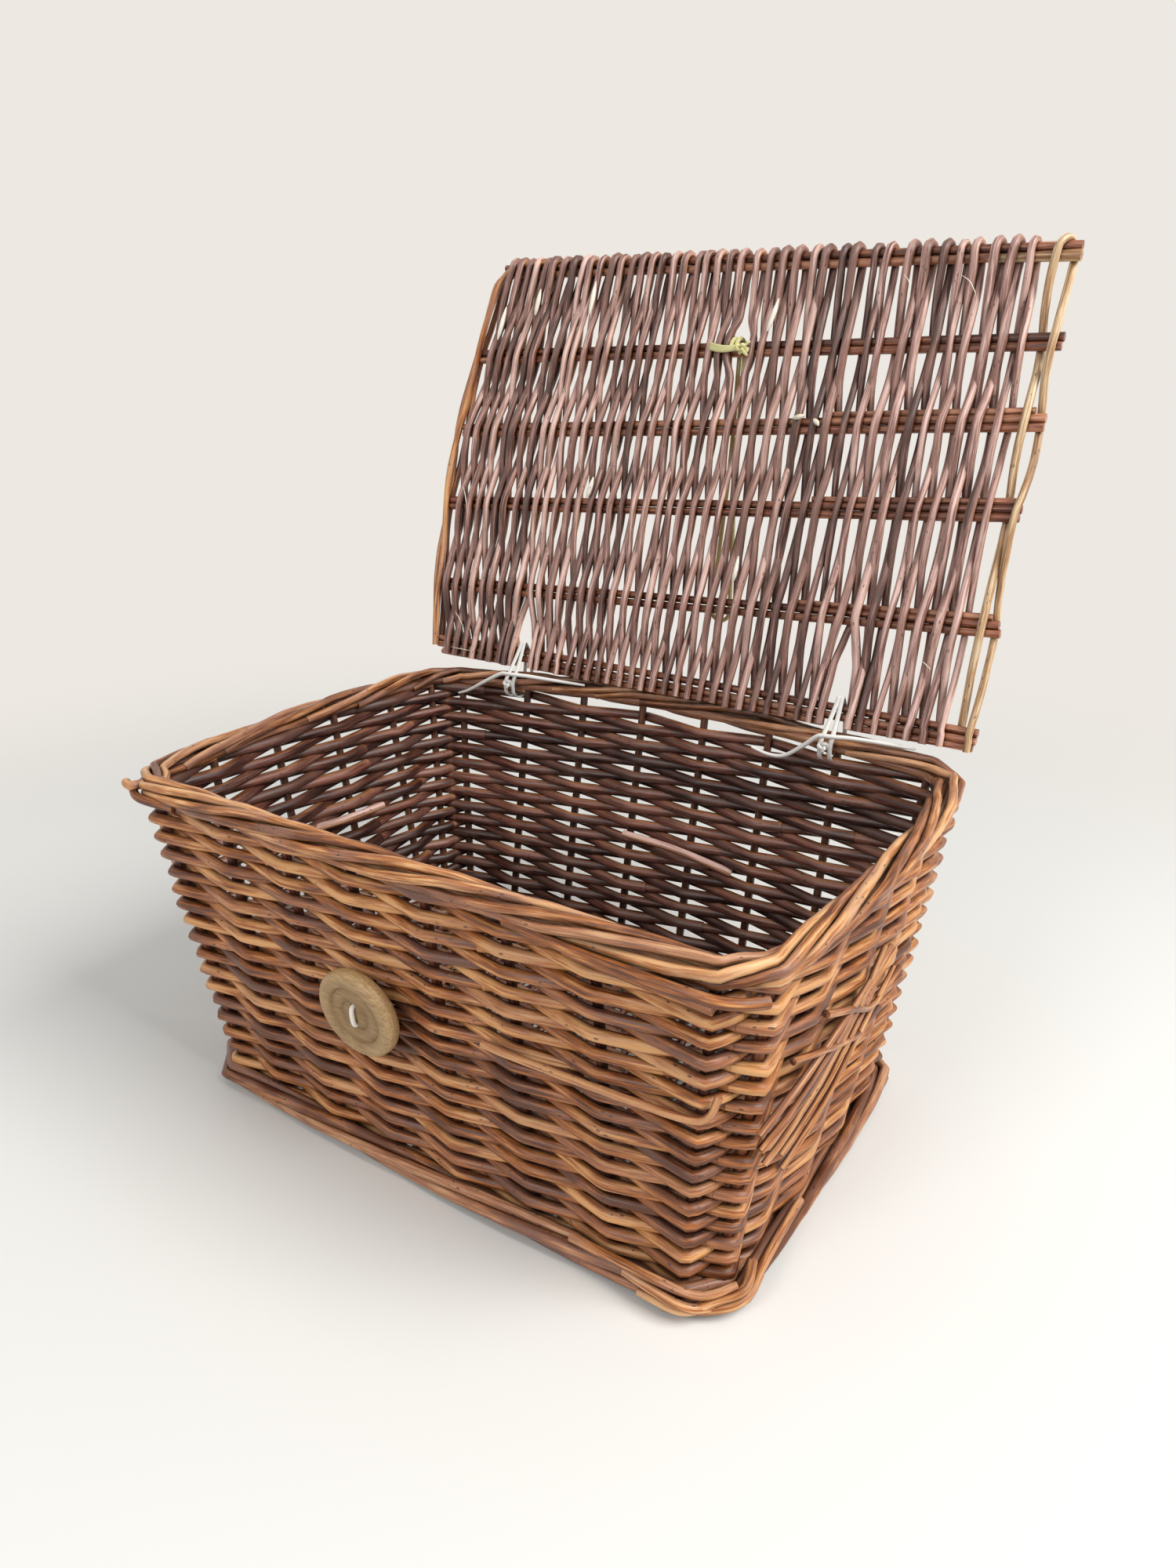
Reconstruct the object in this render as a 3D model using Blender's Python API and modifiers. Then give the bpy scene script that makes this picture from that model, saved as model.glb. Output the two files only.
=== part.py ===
# Lidded willow basket with a stick-framed lid that stands open on two strap ties.
# Metres, +Z up. The origin is the middle of the base's underside.
# +X runs along the front to the right, +Y runs from the front wall to the hinged back wall.
# Wall and lid weaves are closed solids of the woven thickness.
# The stakes and the stick pairs are real rods.

from math import atan2, cos, hypot, pi, radians, sin

import bmesh
import bpy
from mathutils import Vector

# Clearances
FIT_GAP = 0.0003
CUT_OVERRUN = 0.002
WEAVE_SKIN = 0.001

# Overall sizes, outside the border at the rim and outside the weave at the base
RIM_LENGTH = 0.410
RIM_DEPTH = 0.292
BASE_LENGTH = 0.360
BASE_DEPTH = 0.242
RIM_HEIGHT = 0.2133

# How far each side bows out at its middle, at the base and at the rim
FRONT_BOWS = (0.003, 0.003)
BACK_BOWS = (0.003, 0.010)
END_BOWS = (0.004, 0.011)

# Willow rods
STAKE_DIAMETER = 0.005
WEAVER_DIAMETER = 0.0052
WALL_ROWS = 34

# Stakes along each wall
LONG_STAKES = 6
END_STAKES = 4
CORNER_STAKE_COUNT = 2
LONG_STAKE_SPACING_SHARE = 0.1348
END_STAKE_SPACING_SHARE = 0.219
CORNER_INSETS = (0.013, 0.015)

# Base: rods woven across sticks that run along its length
BASE_STICK_DIAMETER = 0.006
BASE_ROD_DIAMETER = 0.0042
BASE_STICKS = 5
BASE_STICK_SPACING = 0.040
BASE_ROW_PITCH = 0.0050
BASE_FLAT_SHARE = 0.4

# Foot wale round the bottom edge
FOOT_ROD_DIAMETER = 0.0080
FOOT_FLAT_DEPTH = 0.0004

# Rim border: three lower rods and two upper rods on every side, bound into one bundle
BORDER_ROD_DIAMETER = 0.0066
BORDER_ROD_STEP = 0.0062

# Rods of one bundle sink into each other by this share of their diameter
BUNDLE_SINK_SHARE = 0.06

# Lid: sticks in pairs from the back edge to the front edge, and how far up the lid their ends are
LID_LEAN = radians(16.3)
LID_AXIS_Y = 0.147
LID_AXIS_RISE = 0.0147
LID_STICK_DIAMETER = 0.0052
LID_ROD_DIAMETER = 0.0048
LID_PAIR_NAMES = ("back", "fifth", "fourth", "third", "second", "front")
LID_LEFT_RISES = (0, 0.0435, 0.1050, 0.1595, 0.2140, 0.2750)
LID_RIGHT_RISES = (0, 0.0635, 0.1300, 0.1810, 0.2255, 0.2745)
LID_LEFT_BACK = 0.2085
LID_LEFT_BELLY = 0.2300
LID_LEFT_FRONT = 0.1940
LID_RIGHT_END = 0.2045
LID_STICK_PROUD = 0.003

# Strap ties that hinge the lid to the border, at slits in the lid's weave
TIE_LEFT_X = -0.129
TIE_RIGHT_X = 0.117
TIE_WIDTH = 0.0036
TIE_SLIT_WIDTH = 0.010
TIE_THICKNESS = 0.001
TIE_SLACK = 0.0008
TIE_KNOT_SIZE = (0.0045, 0.0030, 0.0036)
TIE_KNOT_RUN_SHARE = 0.35
TIE_TAIL_DIAMETER = 0.003

# Free tails of the ties, from tip to tip past the knot: steps from the front of the knot, chosen by hand
TIE_LEFT_TAIL_STEPS = (
    (-0.047, 0.0000, -0.0225), (-0.036, -0.0010, -0.0180), (-0.024, -0.0015, -0.0110),
    (-0.012, -0.0008, -0.0040), (-0.005, 0.0000, -0.0005), (0.000, 0.0000, 0.0000),
    (0.006, 0.0004, 0.0002), (0.015, 0.0030, 0.0000), (0.029, 0.0065, -0.0008),
    (0.045, 0.0090, -0.0012), (0.061, 0.0100, -0.0010),
)
TIE_RIGHT_TAIL_STEPS = (
    (-0.048, -0.0010, -0.0165), (-0.036, -0.0010, -0.0190), (-0.025, -0.0010, -0.0175),
    (-0.013, -0.0006, -0.0085), (-0.005, 0.0000, -0.0012), (0.000, 0.0000, 0.0000),
    (0.006, 0.0004, 0.0004), (0.015, 0.0030, 0.0006), (0.028, 0.0060, 0.0002),
    (0.042, 0.0085, -0.0004), (0.054, 0.0095, -0.0006),
)

# Wooden button on the front wall
BUTTON_DIAMETER = 0.052
BUTTON_THICKNESS = 0.0095
BUTTON_PLACE_X = -0.0185
BUTTON_PLACE_Z = 0.120
BUTTON_STAND_OFF = 0.0045
BUTTON_HOLE_DIAMETER = 0.0036
BUTTON_HOLE_SPACING = 0.012
BUTTON_DISH_RADIUS = 0.0166
BUTTON_DISH_DEPTH = 0.0016
BUTTON_GROOVE_RADIUS = 0.0086
BUTTON_GROOVE_DEPTH = 0.0006
BUTTON_EDGE_ROUND = 0.003
STITCH_DIAMETER = 0.0022
STITCH_REACH = 0.0001

# Closing loop on the lid's outer face, hung round the second stick pair at a slit in the weave
CLOSURE_PLACE_X = 0.005
CLOSURE_SLIT_WIDTH = 0.009
CLOSURE_SLIT_HEIGHT = 0.022
CLOSURE_CORD_DIAMETER = 0.003
CLOSURE_REACH = 0.178
CLOSURE_EYE_RADIUS = 0.007
CLOSURE_STRAIGHT = 0.070
CLOSURE_KNOT_SIZE = (0.0036, 0.0030, 0.0034)

# Woven bands of the lid from left to right, each with its count of rods
LID_BAND_NAMES = ("left", "middle_left", "middle_right", "right")
LID_BAND_RODS = (10, 17, 14, 9)
LID_WEAVE_LEFT = -0.2109
LID_WEAVE_RIGHT = 0.1864
LID_EDGE_PLACES = (0.1935, 0.2005)

# A knot's centre stands off its strap by this share of its half thickness
KNOT_SEAT_SHARE = 0.6

# The foot's upper rod rises over the outer one by this share of the rods' step
FOOT_RISE_SHARE = 0.75

# Counts of faces round the rods and bundles: a curve has 4 sides, and 2 more for each bevel step
SIX_SIDES = 1
EIGHT_SIDES = 2
STAKE_SIDES = 8
CLOSURE_TURN_STEPS = 8
CLOSURE_LEG_STEPS = 6
LID_TURN_STEPS = 4
PAIR_SAMPLES = 12
BORDER_SAMPLES = 16
FOOT_SAMPLES = 14
STRAP_TURN_STEPS = 12
KNOT_SEGMENTS = 10
KNOT_RINGS = 6
BUTTON_STEPS = 32
BUTTON_HOLE_SIDES = 12

# Points of the button's profile this near its axis become one
AXIS_MERGE = 0.00005

# Derived sizes
HALF_GAP = FIT_GAP / 2
STAKE_RADIUS = STAKE_DIAMETER / 2
WEAVE_CREST = STAKE_RADIUS + FIT_GAP + WEAVER_DIAMETER
WEAVE_VALLEY = STAKE_RADIUS + FIT_GAP + WEAVE_SKIN
BORDER_ROD_RADIUS = BORDER_ROD_DIAMETER / 2
BORDER_HALF_WIDTH = BORDER_ROD_STEP + BORDER_ROD_RADIUS
BORDER_UPPER_Z = RIM_HEIGHT - BORDER_ROD_RADIUS
BORDER_LOWER_Z = BORDER_UPPER_Z - BORDER_ROD_STEP * sin(pi / 3)
BORDER_UNDERSIDE = BORDER_LOWER_Z - BORDER_ROD_RADIUS
FOOT_ROD_RADIUS = FOOT_ROD_DIAMETER / 2
FOOT_STEP = FOOT_ROD_DIAMETER * (1 - BUNDLE_SINK_SHARE)
FOOT_UPPER_OFFSET = WEAVE_CREST + FIT_GAP + FOOT_ROD_RADIUS
WEAVE_BOTTOM = FOOT_ROD_DIAMETER - FOOT_FLAT_DEPTH + FIT_GAP
WEAVE_TOP = BORDER_UNDERSIDE - FIT_GAP
ROW_PITCH = (WEAVE_TOP - WEAVE_BOTTOM) / WALL_ROWS
LONG_STAKE_SPACING = BASE_LENGTH * LONG_STAKE_SPACING_SHARE
END_STAKE_SPACING = BASE_DEPTH * END_STAKE_SPACING_SHARE
LONG_SIDE_STAKES = LONG_STAKES + CORNER_STAKE_COUNT
END_SIDE_STAKES = END_STAKES + CORNER_STAKE_COUNT
RIM_HALF = Vector((RIM_LENGTH / 2 - BORDER_HALF_WIDTH, RIM_DEPTH / 2 - BORDER_HALF_WIDTH))
BASE_HALF = Vector((BASE_LENGTH / 2 - WEAVE_CREST, BASE_DEPTH / 2 - WEAVE_CREST))
LID_AXIS_Z = RIM_HEIGHT + LID_AXIS_RISE
LID_STICK_RADIUS = LID_STICK_DIAMETER / 2
LID_ROD_RADIUS = LID_ROD_DIAMETER / 2
PAIR_HALF_STEP = LID_STICK_RADIUS * (1 - BUNDLE_SINK_SHARE)
PAIR_HALF_WIDTH = PAIR_HALF_STEP + LID_STICK_RADIUS
LID_CREST = LID_STICK_RADIUS + FIT_GAP + LID_ROD_DIAMETER
LID_VALLEY = LID_STICK_RADIUS + FIT_GAP + WEAVE_SKIN
LID_PAIRS = tuple(zip(LID_PAIR_NAMES, LID_LEFT_RISES, LID_RIGHT_RISES))
LID_BAND_EDGES = (LID_WEAVE_LEFT, TIE_LEFT_X, CLOSURE_PLACE_X, TIE_RIGHT_X, LID_WEAVE_RIGHT)
LID_BANDS = tuple(zip(LID_BAND_NAMES, LID_BAND_EDGES, LID_BAND_EDGES[1:], LID_BAND_RODS))
TIE_PLACES = (("left", TIE_LEFT_X), ("right", TIE_RIGHT_X))
TIE_TAIL_ROUTES = {"left": TIE_LEFT_TAIL_STEPS, "right": TIE_RIGHT_TAIL_STEPS}

COLOURS = {
    "willow_wall": (0.36, 0.17, 0.07),
    "willow_stake": (0.16, 0.06, 0.035),
    "willow_border": (0.42, 0.21, 0.10),
    "willow_lid": (0.27, 0.15, 0.12),
    "willow_stick": (0.25, 0.10, 0.055),
    "strap_white": (0.80, 0.80, 0.78),
    "button_wood": (0.42, 0.29, 0.16),
    "raffia": (0.55, 0.45, 0.22),
}

PARTS = bpy.data.collections.new("lidded_wicker_basket")
CUTTERS = bpy.data.collections.new("cutters")


def clear_scene():
    for item in list(bpy.data.objects):
        bpy.data.objects.remove(item, do_unlink=True)
    bpy.context.scene.collection.children.link(PARTS)
    bpy.context.scene.collection.children.link(CUTTERS)


def finish_of(node, colour):
    material = bpy.data.materials.new(node + "_" + colour)
    material.use_nodes = True
    shader = material.node_tree.nodes["Principled BSDF"]
    shader.inputs["Base Color"].default_value = (*COLOURS[colour], 1)
    shader.inputs["Roughness"].default_value = 0.6
    shader.inputs["Metallic"].default_value = 0
    return material


def place(item, parent=None, collection=PARTS):
    collection.objects.link(item)
    item.parent = parent
    return item


def axis_empty(name, location, turn_x=0, parent=None):
    empty = bpy.data.objects.new(name, None)
    empty.location = location
    empty.rotation_euler = (turn_x, 0, 0)
    return place(empty, parent)


def rod(name, path, radius, colour, resolution=EIGHT_SIDES, parent=None):
    """A round rod or cord along a path: a curve with a bevel and filled ends."""
    curve = bpy.data.curves.new(name, "CURVE")
    curve.dimensions = "3D"
    curve.bevel_depth = radius
    curve.bevel_resolution = resolution
    curve.use_fill_caps = True
    spline = curve.splines.new("POLY")
    spline.points.add(len(path) - 1)
    for point, place_at in zip(spline.points, path):
        point.co = (*place_at, 1)
    spline.use_smooth = True
    curve.materials.append(finish_of(name, colour))
    return place(bpy.data.objects.new(name, curve), parent)


def mesh_object(name, vertices, faces, colour, parent=None, collection=PARTS):
    mesh = bpy.data.meshes.new(name)
    mesh.from_pydata(vertices, [], faces)
    form = bmesh.new()
    form.from_mesh(mesh)
    bmesh.ops.recalc_face_normals(form, faces=form.faces)
    bmesh.ops.triangulate(form, faces=form.faces)
    form.to_mesh(mesh)
    form.free()
    mesh.materials.append(finish_of(name, colour))
    return place(bpy.data.objects.new(name, mesh), parent, collection)


def boolean(target, operation, other):
    joined = target.modifiers.new(operation.lower(), "BOOLEAN")
    joined.operation = operation
    joined.solver = "EXACT"
    joined.object = other
    other.hide_render = True
    other.display_type = "WIRE"


def box_cutter(name, size, middle, parent=None):
    form = bmesh.new()
    bmesh.ops.create_cube(form, size=1)
    bmesh.ops.scale(form, vec=size, verts=form.verts)
    bmesh.ops.translate(form, vec=middle, verts=form.verts)
    mesh = bpy.data.meshes.new(name)
    form.to_mesh(mesh)
    form.free()
    return place(bpy.data.objects.new(name, mesh), parent, CUTTERS)


def bundle_outline(circles, samples, flat_at=None):
    """Outline round overlapping circles (across, up, radius), seen from the middle of their centres."""
    middle_x = sum(circle[0] for circle in circles) / len(circles)
    middle_z = sum(circle[1] for circle in circles) / len(circles)
    outline = []
    for step in range(samples):
        angle = 2 * pi * (step + 0.5) / samples
        reach = 0
        for across, up, radius in circles:
            along = (across - middle_x) * cos(angle) + (up - middle_z) * sin(angle)
            aside = (up - middle_z) * cos(angle) - (across - middle_x) * sin(angle)
            if abs(aside) < radius:
                reach = max(reach, along + (radius ** 2 - aside ** 2) ** 0.5)
        z = middle_z + reach * sin(angle)
        outline.append((middle_x + reach * cos(angle), z if flat_at is None else max(z, flat_at)))
    return outline


def loft(name, sections, colour, parent=None, collection=PARTS):
    """A closed tube through sections that hold the same number of points each."""
    count = len(sections[0])
    vertices = [point for section in sections for point in section]
    faces = [tuple(range(count)), tuple(range(len(vertices) - 1, len(vertices) - count - 1, -1))]
    for start in range(0, len(vertices) - count, count):
        for step in range(count):
            after = (step + 1) % count
            faces.append((start + step, start + step + count, start + after + count, start + after))
    return mesh_object(name, vertices, faces, colour, parent, collection)


# Wall outline: a ring of stake places at the base and at the rim, with bowed sides and cut corners

def side_places(half_along, count, spacing, inset):
    inner = [(index - (count - 1) / 2) * spacing for index in range(count)]
    return [-(half_along - inset), *inner, half_along - inset]


def level_ring(level):
    """Stake places round the basket at the base (0) or the rim (1), starting at the front left."""
    half = (BASE_HALF, RIM_HALF)[level]
    inset = CORNER_INSETS[level]
    long_places = side_places(half.x, LONG_STAKES, LONG_STAKE_SPACING, inset)
    end_places = side_places(half.y, END_STAKES, END_STAKE_SPACING, inset)
    front = [Vector((x, -half.y - FRONT_BOWS[level] * (1 - (x / half.x) ** 2))) for x in long_places]
    right = [Vector((half.x + END_BOWS[level] * (1 - (y / half.y) ** 2), y)) for y in end_places]
    back = [Vector((-x, half.y + BACK_BOWS[level] * (1 - (x / half.x) ** 2))) for x in long_places]
    left = [Vector((-point.x, -point.y)) for point in right]
    ring = []
    for side in (front, right, back, left):
        ring.extend(side)
    return ring


def outward_normals(ring):
    """Mitred outward directions, long enough to keep the wall's thickness at each bend."""
    normals = []
    for index, point in enumerate(ring):
        before = (point - ring[index - 1]).normalized()
        after = (ring[(index + 1) % len(ring)] - point).normalized()
        joined = (Vector((before.y, -before.x)) + Vector((after.y, -after.x))).normalized()
        normals.append(joined / joined.dot(Vector((before.y, -before.x))))
    return normals


RINGS = [level_ring(0), level_ring(1)]
NORMALS = [outward_normals(RINGS[0]), outward_normals(RINGS[1])]
SIDE_SPANS = {
    "front": (0, LONG_SIDE_STAKES),
    "right": (LONG_SIDE_STAKES, END_SIDE_STAKES),
    "back": (LONG_SIDE_STAKES + END_SIDE_STAKES, LONG_SIDE_STAKES),
    "left": (2 * LONG_SIDE_STAKES + END_SIDE_STAKES, END_SIDE_STAKES),
}


def ring_point(index, z, offset):
    """A place beside ring point number index, at height z, offset outwards from the stake line."""
    slot = index % len(RINGS[0])
    share = z / WEAVE_TOP
    low = RINGS[0][slot] + NORMALS[0][slot] * offset
    high = RINGS[1][slot] + NORMALS[1][slot] * offset
    flat = low.lerp(high, share)
    return Vector((flat.x, flat.y, z))


def corner_point(index, z, offset, side_of_corner):
    """Halfway between a corner's two stakes, drawn back half a gap to this side."""
    first = ring_point(index, z, offset)
    second = ring_point(index + 1, z, offset)
    along = (second - first).normalized()
    return (first + second) / 2 + along * HALF_GAP * side_of_corner


def side_line(side, z, offset):
    """The places along one side from corner to corner at one height and offset."""
    start, count = SIDE_SPANS[side]
    points = [corner_point(start - 1, z, offset, 1)]
    points.extend(ring_point(start + step, z, offset) for step in range(count))
    points.append(corner_point(start + count - 1, z, offset, -1))
    return points


# Walls

def wall_levels():
    centres = [WEAVE_BOTTOM + (row + 0.5) * ROW_PITCH for row in range(WALL_ROWS)]
    return [WEAVE_BOTTOM, *centres, WEAVE_TOP]


def crest_share(row, station, last_row, last_station, face):
    """1 where a row passes outside this face at a stake, 0 where it passes behind it."""
    if row in (0, last_row):
        return 0
    if station in (0, last_station):
        return 0.5
    return (row + station + face) % 2


def wall_weave(side):
    levels = wall_levels()
    stations = SIDE_SPANS[side][1] + 2
    vertices = []
    for face, sign in ((0, 1), (1, -1)):
        for row, z in enumerate(levels):
            low = side_line(side, z, sign * WEAVE_VALLEY)
            high = side_line(side, z, sign * WEAVE_CREST)
            for station in range(stations):
                share = crest_share(row, station, len(levels) - 1, stations - 1, face)
                vertices.append(low[station].lerp(high[station], share))
    faces = shell_faces(len(levels), stations)
    panel = mesh_object("wall_weave_" + side, vertices, faces, "willow_wall")
    for index in stake_indices(side):
        name = "stake_channel_%s_%d" % (side, index)
        low_z = WEAVE_BOTTOM - CUT_OVERRUN
        high_z = WEAVE_TOP + CUT_OVERRUN
        channel = stake_section_loft(name, index, STAKE_RADIUS + FIT_GAP, low_z, high_z, CUTTERS)
        boolean(panel, "DIFFERENCE", channel)
    return panel


def tie_notches(panel):
    """Room for each strap tie under the back border, at the top of the back wall's weave."""
    depth = TIE_SLACK + TIE_THICKNESS + FIT_GAP
    size = Vector((TIE_WIDTH + 2 * TIE_SLACK, 4 * WEAVE_CREST, depth + CUT_OVERRUN))
    for side, x in TIE_PLACES:
        middle = Vector((x, back_border_y(x, WEAVE_TOP, 0), WEAVE_TOP - depth + size.z / 2))
        boolean(panel, "DIFFERENCE", box_cutter("tie_notch_" + side, size, middle))


def shell_faces(rows, columns):
    """Quads of two matching grids and of the strips that close their edges."""
    second = rows * columns
    faces = []
    for row in range(rows - 1):
        for column in range(columns - 1):
            a = row * columns + column
            b = a + 1
            c = b + columns
            d = a + columns
            faces.append((a, b, c, d))
            faces.append((a + second, d + second, c + second, b + second))
    border = list(range(columns))
    border += [row * columns + columns - 1 for row in range(1, rows)]
    border += [(rows - 1) * columns + column for column in range(columns - 2, -1, -1)]
    border += [row * columns for row in range(rows - 2, 0, -1)]
    for here, there in zip(border, border[1:] + border[:1]):
        faces.append((here, here + second, there + second, there))
    return faces


# Stakes

def stake_indices(side):
    start, count = SIDE_SPANS[side]
    return range(start, start + count)


def stake_section_loft(name, index, radius, low_z, high_z, collection):
    sections = []
    for z in (low_z, high_z):
        middle = ring_point(index, z, 0)
        ring = []
        for step in range(STAKE_SIDES):
            angle = 2 * pi * step / STAKE_SIDES
            ring.append(middle + Vector((radius * cos(angle), radius * sin(angle), 0)))
        sections.append(ring)
    return loft(name, sections, "willow_stake", None, collection)


def stakes():
    """Each wall's stakes, and at both its ends the corner stakes, from the foot to the border."""
    top_z = BORDER_UNDERSIDE - FIT_GAP
    for side in SIDE_SPANS:
        indices = list(stake_indices(side))
        for order, index in enumerate(indices):
            if index in (indices[0], indices[-1]):
                name = "corner_stake_%s_%s" % (side, "start" if order == 0 else "end")
            else:
                name = "stake_%s_%d" % (side, order)
            stake_section_loft(name, index, STAKE_RADIUS, WEAVE_BOTTOM, top_z, PARTS)


# Foot wale and rim border

def thinned(points):
    """Every second place of a side line, with both corners and their stakes kept."""
    inner = points[2:-2]
    return [*points[:2], *inner[::2], *points[-2:]]


def side_bundle(name, side, outline, colour):
    """A bundle of rods along one side, from the middle of one corner to the middle of the next."""
    lines = [thinned(side_line(side, z, offset)) for offset, z in outline]
    return loft(name, [list(section) for section in zip(*lines)], colour)


def foot_wale():
    radius = FOOT_ROD_RADIUS
    centre_z = radius - FOOT_FLAT_DEPTH
    circles = [(FOOT_UPPER_OFFSET - FOOT_STEP * step, centre_z, radius) for step in range(3)]
    circles.append((FOOT_UPPER_OFFSET, centre_z + FOOT_STEP * FOOT_RISE_SHARE, radius))
    outline = bundle_outline(circles, FOOT_SAMPLES, 0)
    for side in SIDE_SPANS:
        side_bundle("foot_wale_" + side, side, outline, "willow_border")


def border_circles():
    lower = [(step * BORDER_ROD_STEP, BORDER_LOWER_Z, BORDER_ROD_RADIUS) for step in (-1, 0, 1)]
    upper = [(step * BORDER_ROD_STEP / 2, BORDER_UPPER_Z, BORDER_ROD_RADIUS) for step in (-1, 1)]
    return lower + upper


def rim_border():
    outline = bundle_outline(border_circles(), BORDER_SAMPLES)
    for side in SIDE_SPANS:
        side_bundle("rim_border_" + side, side, outline, "willow_border")


# Base

def base_edges():
    """Half sizes of the base slab, just clear of the foot's innermost rods."""
    clear = FIT_GAP + FOOT_ROD_RADIUS + 2 * FOOT_STEP - FOOT_UPPER_OFFSET
    return BASE_HALF.x - clear, BASE_HALF.y - clear


def base_rod_steps(half_x):
    """Two places for each rod across the base, as shares of its half length, with the rod's number."""
    middle = int(half_x / BASE_ROW_PITCH)
    steps = [(-1, None)]
    for number in range(1 - middle, middle):
        steps.extend(((number + side * BASE_FLAT_SHARE / 2) / middle, number) for side in (-1, 1))
    return [*steps, (1, None)]


def base_stick_steps(half_y):
    """Two places for each stick along the base, with the stick's number."""
    middle = (BASE_STICKS - 1) / 2
    steps = [(-half_y, None)]
    for number in range(BASE_STICKS):
        across = (number - middle) * BASE_STICK_SPACING
        steps.extend((across + side * BASE_STICK_DIAMETER / 2, number - int(middle)) for side in (-1, 1))
    return [*steps, (half_y, None)]


def base_height(level, rod_number, stick_number):
    """Height of the slab's underside (level 0) or top (level 1) where a rod meets a stick."""
    edge = rod_number is None or stick_number is None
    over = not edge and (rod_number + stick_number) % 2
    if not level:
        return BASE_ROD_DIAMETER if over else 0
    if edge:
        return WEAVE_BOTTOM - FIT_GAP
    valley = BASE_ROD_DIAMETER + BASE_STICK_DIAMETER
    return valley + BASE_ROD_DIAMETER if over else valley


def base_weave():
    """The woven base: each rod passes over one stick and under the next, on both faces of the slab."""
    half_x, half_y = base_edges()
    rod_steps = base_rod_steps(half_x)
    stick_steps = base_stick_steps(half_y)
    vertices = []
    for level in (1, 0):
        for along, rod_number in rod_steps:
            taper = max(0, abs(along) * half_x - (half_x - CORNER_INSETS[0]))
            bow = FRONT_BOWS[0] * (1 - along ** 2)
            for across, stick_number in stick_steps:
                x = along * (half_x + END_BOWS[0] * (1 - (across / half_y) ** 2))
                y = across * (half_y + bow - taper) / half_y
                vertices.append((x, y, base_height(level, rod_number, stick_number)))
    faces = shell_faces(len(rod_steps), len(stick_steps))
    mesh_object("base_weave", vertices, faces, "willow_wall")


# Lid, in its own frame: X along the hinge, Z up the lid, -Y out of its inner face

def lid_left_edge(share):
    back = (1 - share) ** 2 * LID_LEFT_BACK
    belly = 2 * share * (1 - share) * LID_LEFT_BELLY
    return -(back + belly + share ** 2 * LID_LEFT_FRONT)


def lid_length():
    return LID_PAIRS[-1][1]


def weaver_x(x_at_back, rise):
    """A rod's place along the hinge: rods near the left edge follow its curve."""
    share = max(0, min(1, rise / lid_length()))
    follow = max(0, -x_at_back / LID_LEFT_BACK)
    return x_at_back + (lid_left_edge(share) + LID_LEFT_BACK) * follow


def pair_rise(pair, x):
    left_x = lid_left_edge(pair[1] / lid_length())
    return pair[1] + (pair[2] - pair[1]) * (x - left_x) / (LID_RIGHT_END - left_x)


def pair_outline(x, rise, extra):
    """Section of a stick pair at one place along the hinge, across its rods."""
    circles = [(sign * PAIR_HALF_STEP, 0, LID_STICK_RADIUS + extra) for sign in (-1, 1)]
    return [(x, up, rise + across) for across, up in bundle_outline(circles, PAIR_SAMPLES)]


def lid_stick_pair(name, pair, extra, overrun, parent, collection):
    left_x = lid_left_edge(pair[1] / lid_length()) - LID_STICK_PROUD - overrun
    right_x = LID_RIGHT_END + overrun
    ends = [pair_outline(x, pair_rise(pair, x), extra) for x in (left_x, right_x)]
    return loft(name, ends, "willow_stick", parent, collection)


def lid_sticks(hinge):
    for pair in LID_PAIRS:
        lid_stick_pair("lid_sticks_" + pair[0], pair, 0, 0, hinge, PARTS)


def lid_stations(x_at_back):
    """Places up the lid where a rod meets the stick pairs, with an end past the first and the last."""
    rises = [pair_rise(pair, weaver_x(x_at_back, pair[1])) for pair in LID_PAIRS]
    past = PAIR_HALF_WIDTH + FIT_GAP + LID_ROD_DIAMETER
    return [rises[0] - past, *rises, rises[-1] + past]


def lid_slit(hinge, name, x, low, high, width):
    """Cutter for a slit in the lid's weave, between two heights up the lid."""
    size = Vector((width, 2 * (LID_CREST + CUT_OVERRUN), high - low))
    return box_cutter(name, size, Vector((x, 0, (low + high) / 2)), hinge)


def lid_slits(hinge):
    """The slits in the lid's weave, each with its place along the hinge."""
    slits = []
    for side, x in TIE_PLACES:
        low = -PAIR_HALF_WIDTH - LID_ROD_DIAMETER - CUT_OVERRUN
        high = pair_rise(LID_PAIRS[1], x) - PAIR_HALF_WIDTH - LID_ROD_RADIUS
        slits.append((x, lid_slit(hinge, "tie_slit_" + side, x, low, high, TIE_SLIT_WIDTH)))
    x = CLOSURE_PLACE_X
    middle = pair_rise(LID_PAIRS[-2], x)
    reach = CLOSURE_SLIT_HEIGHT / 2
    slit = lid_slit(hinge, "closure_slit", x, middle - reach, middle + reach, CLOSURE_SLIT_WIDTH)
    slits.append((x, slit))
    return slits


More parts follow.
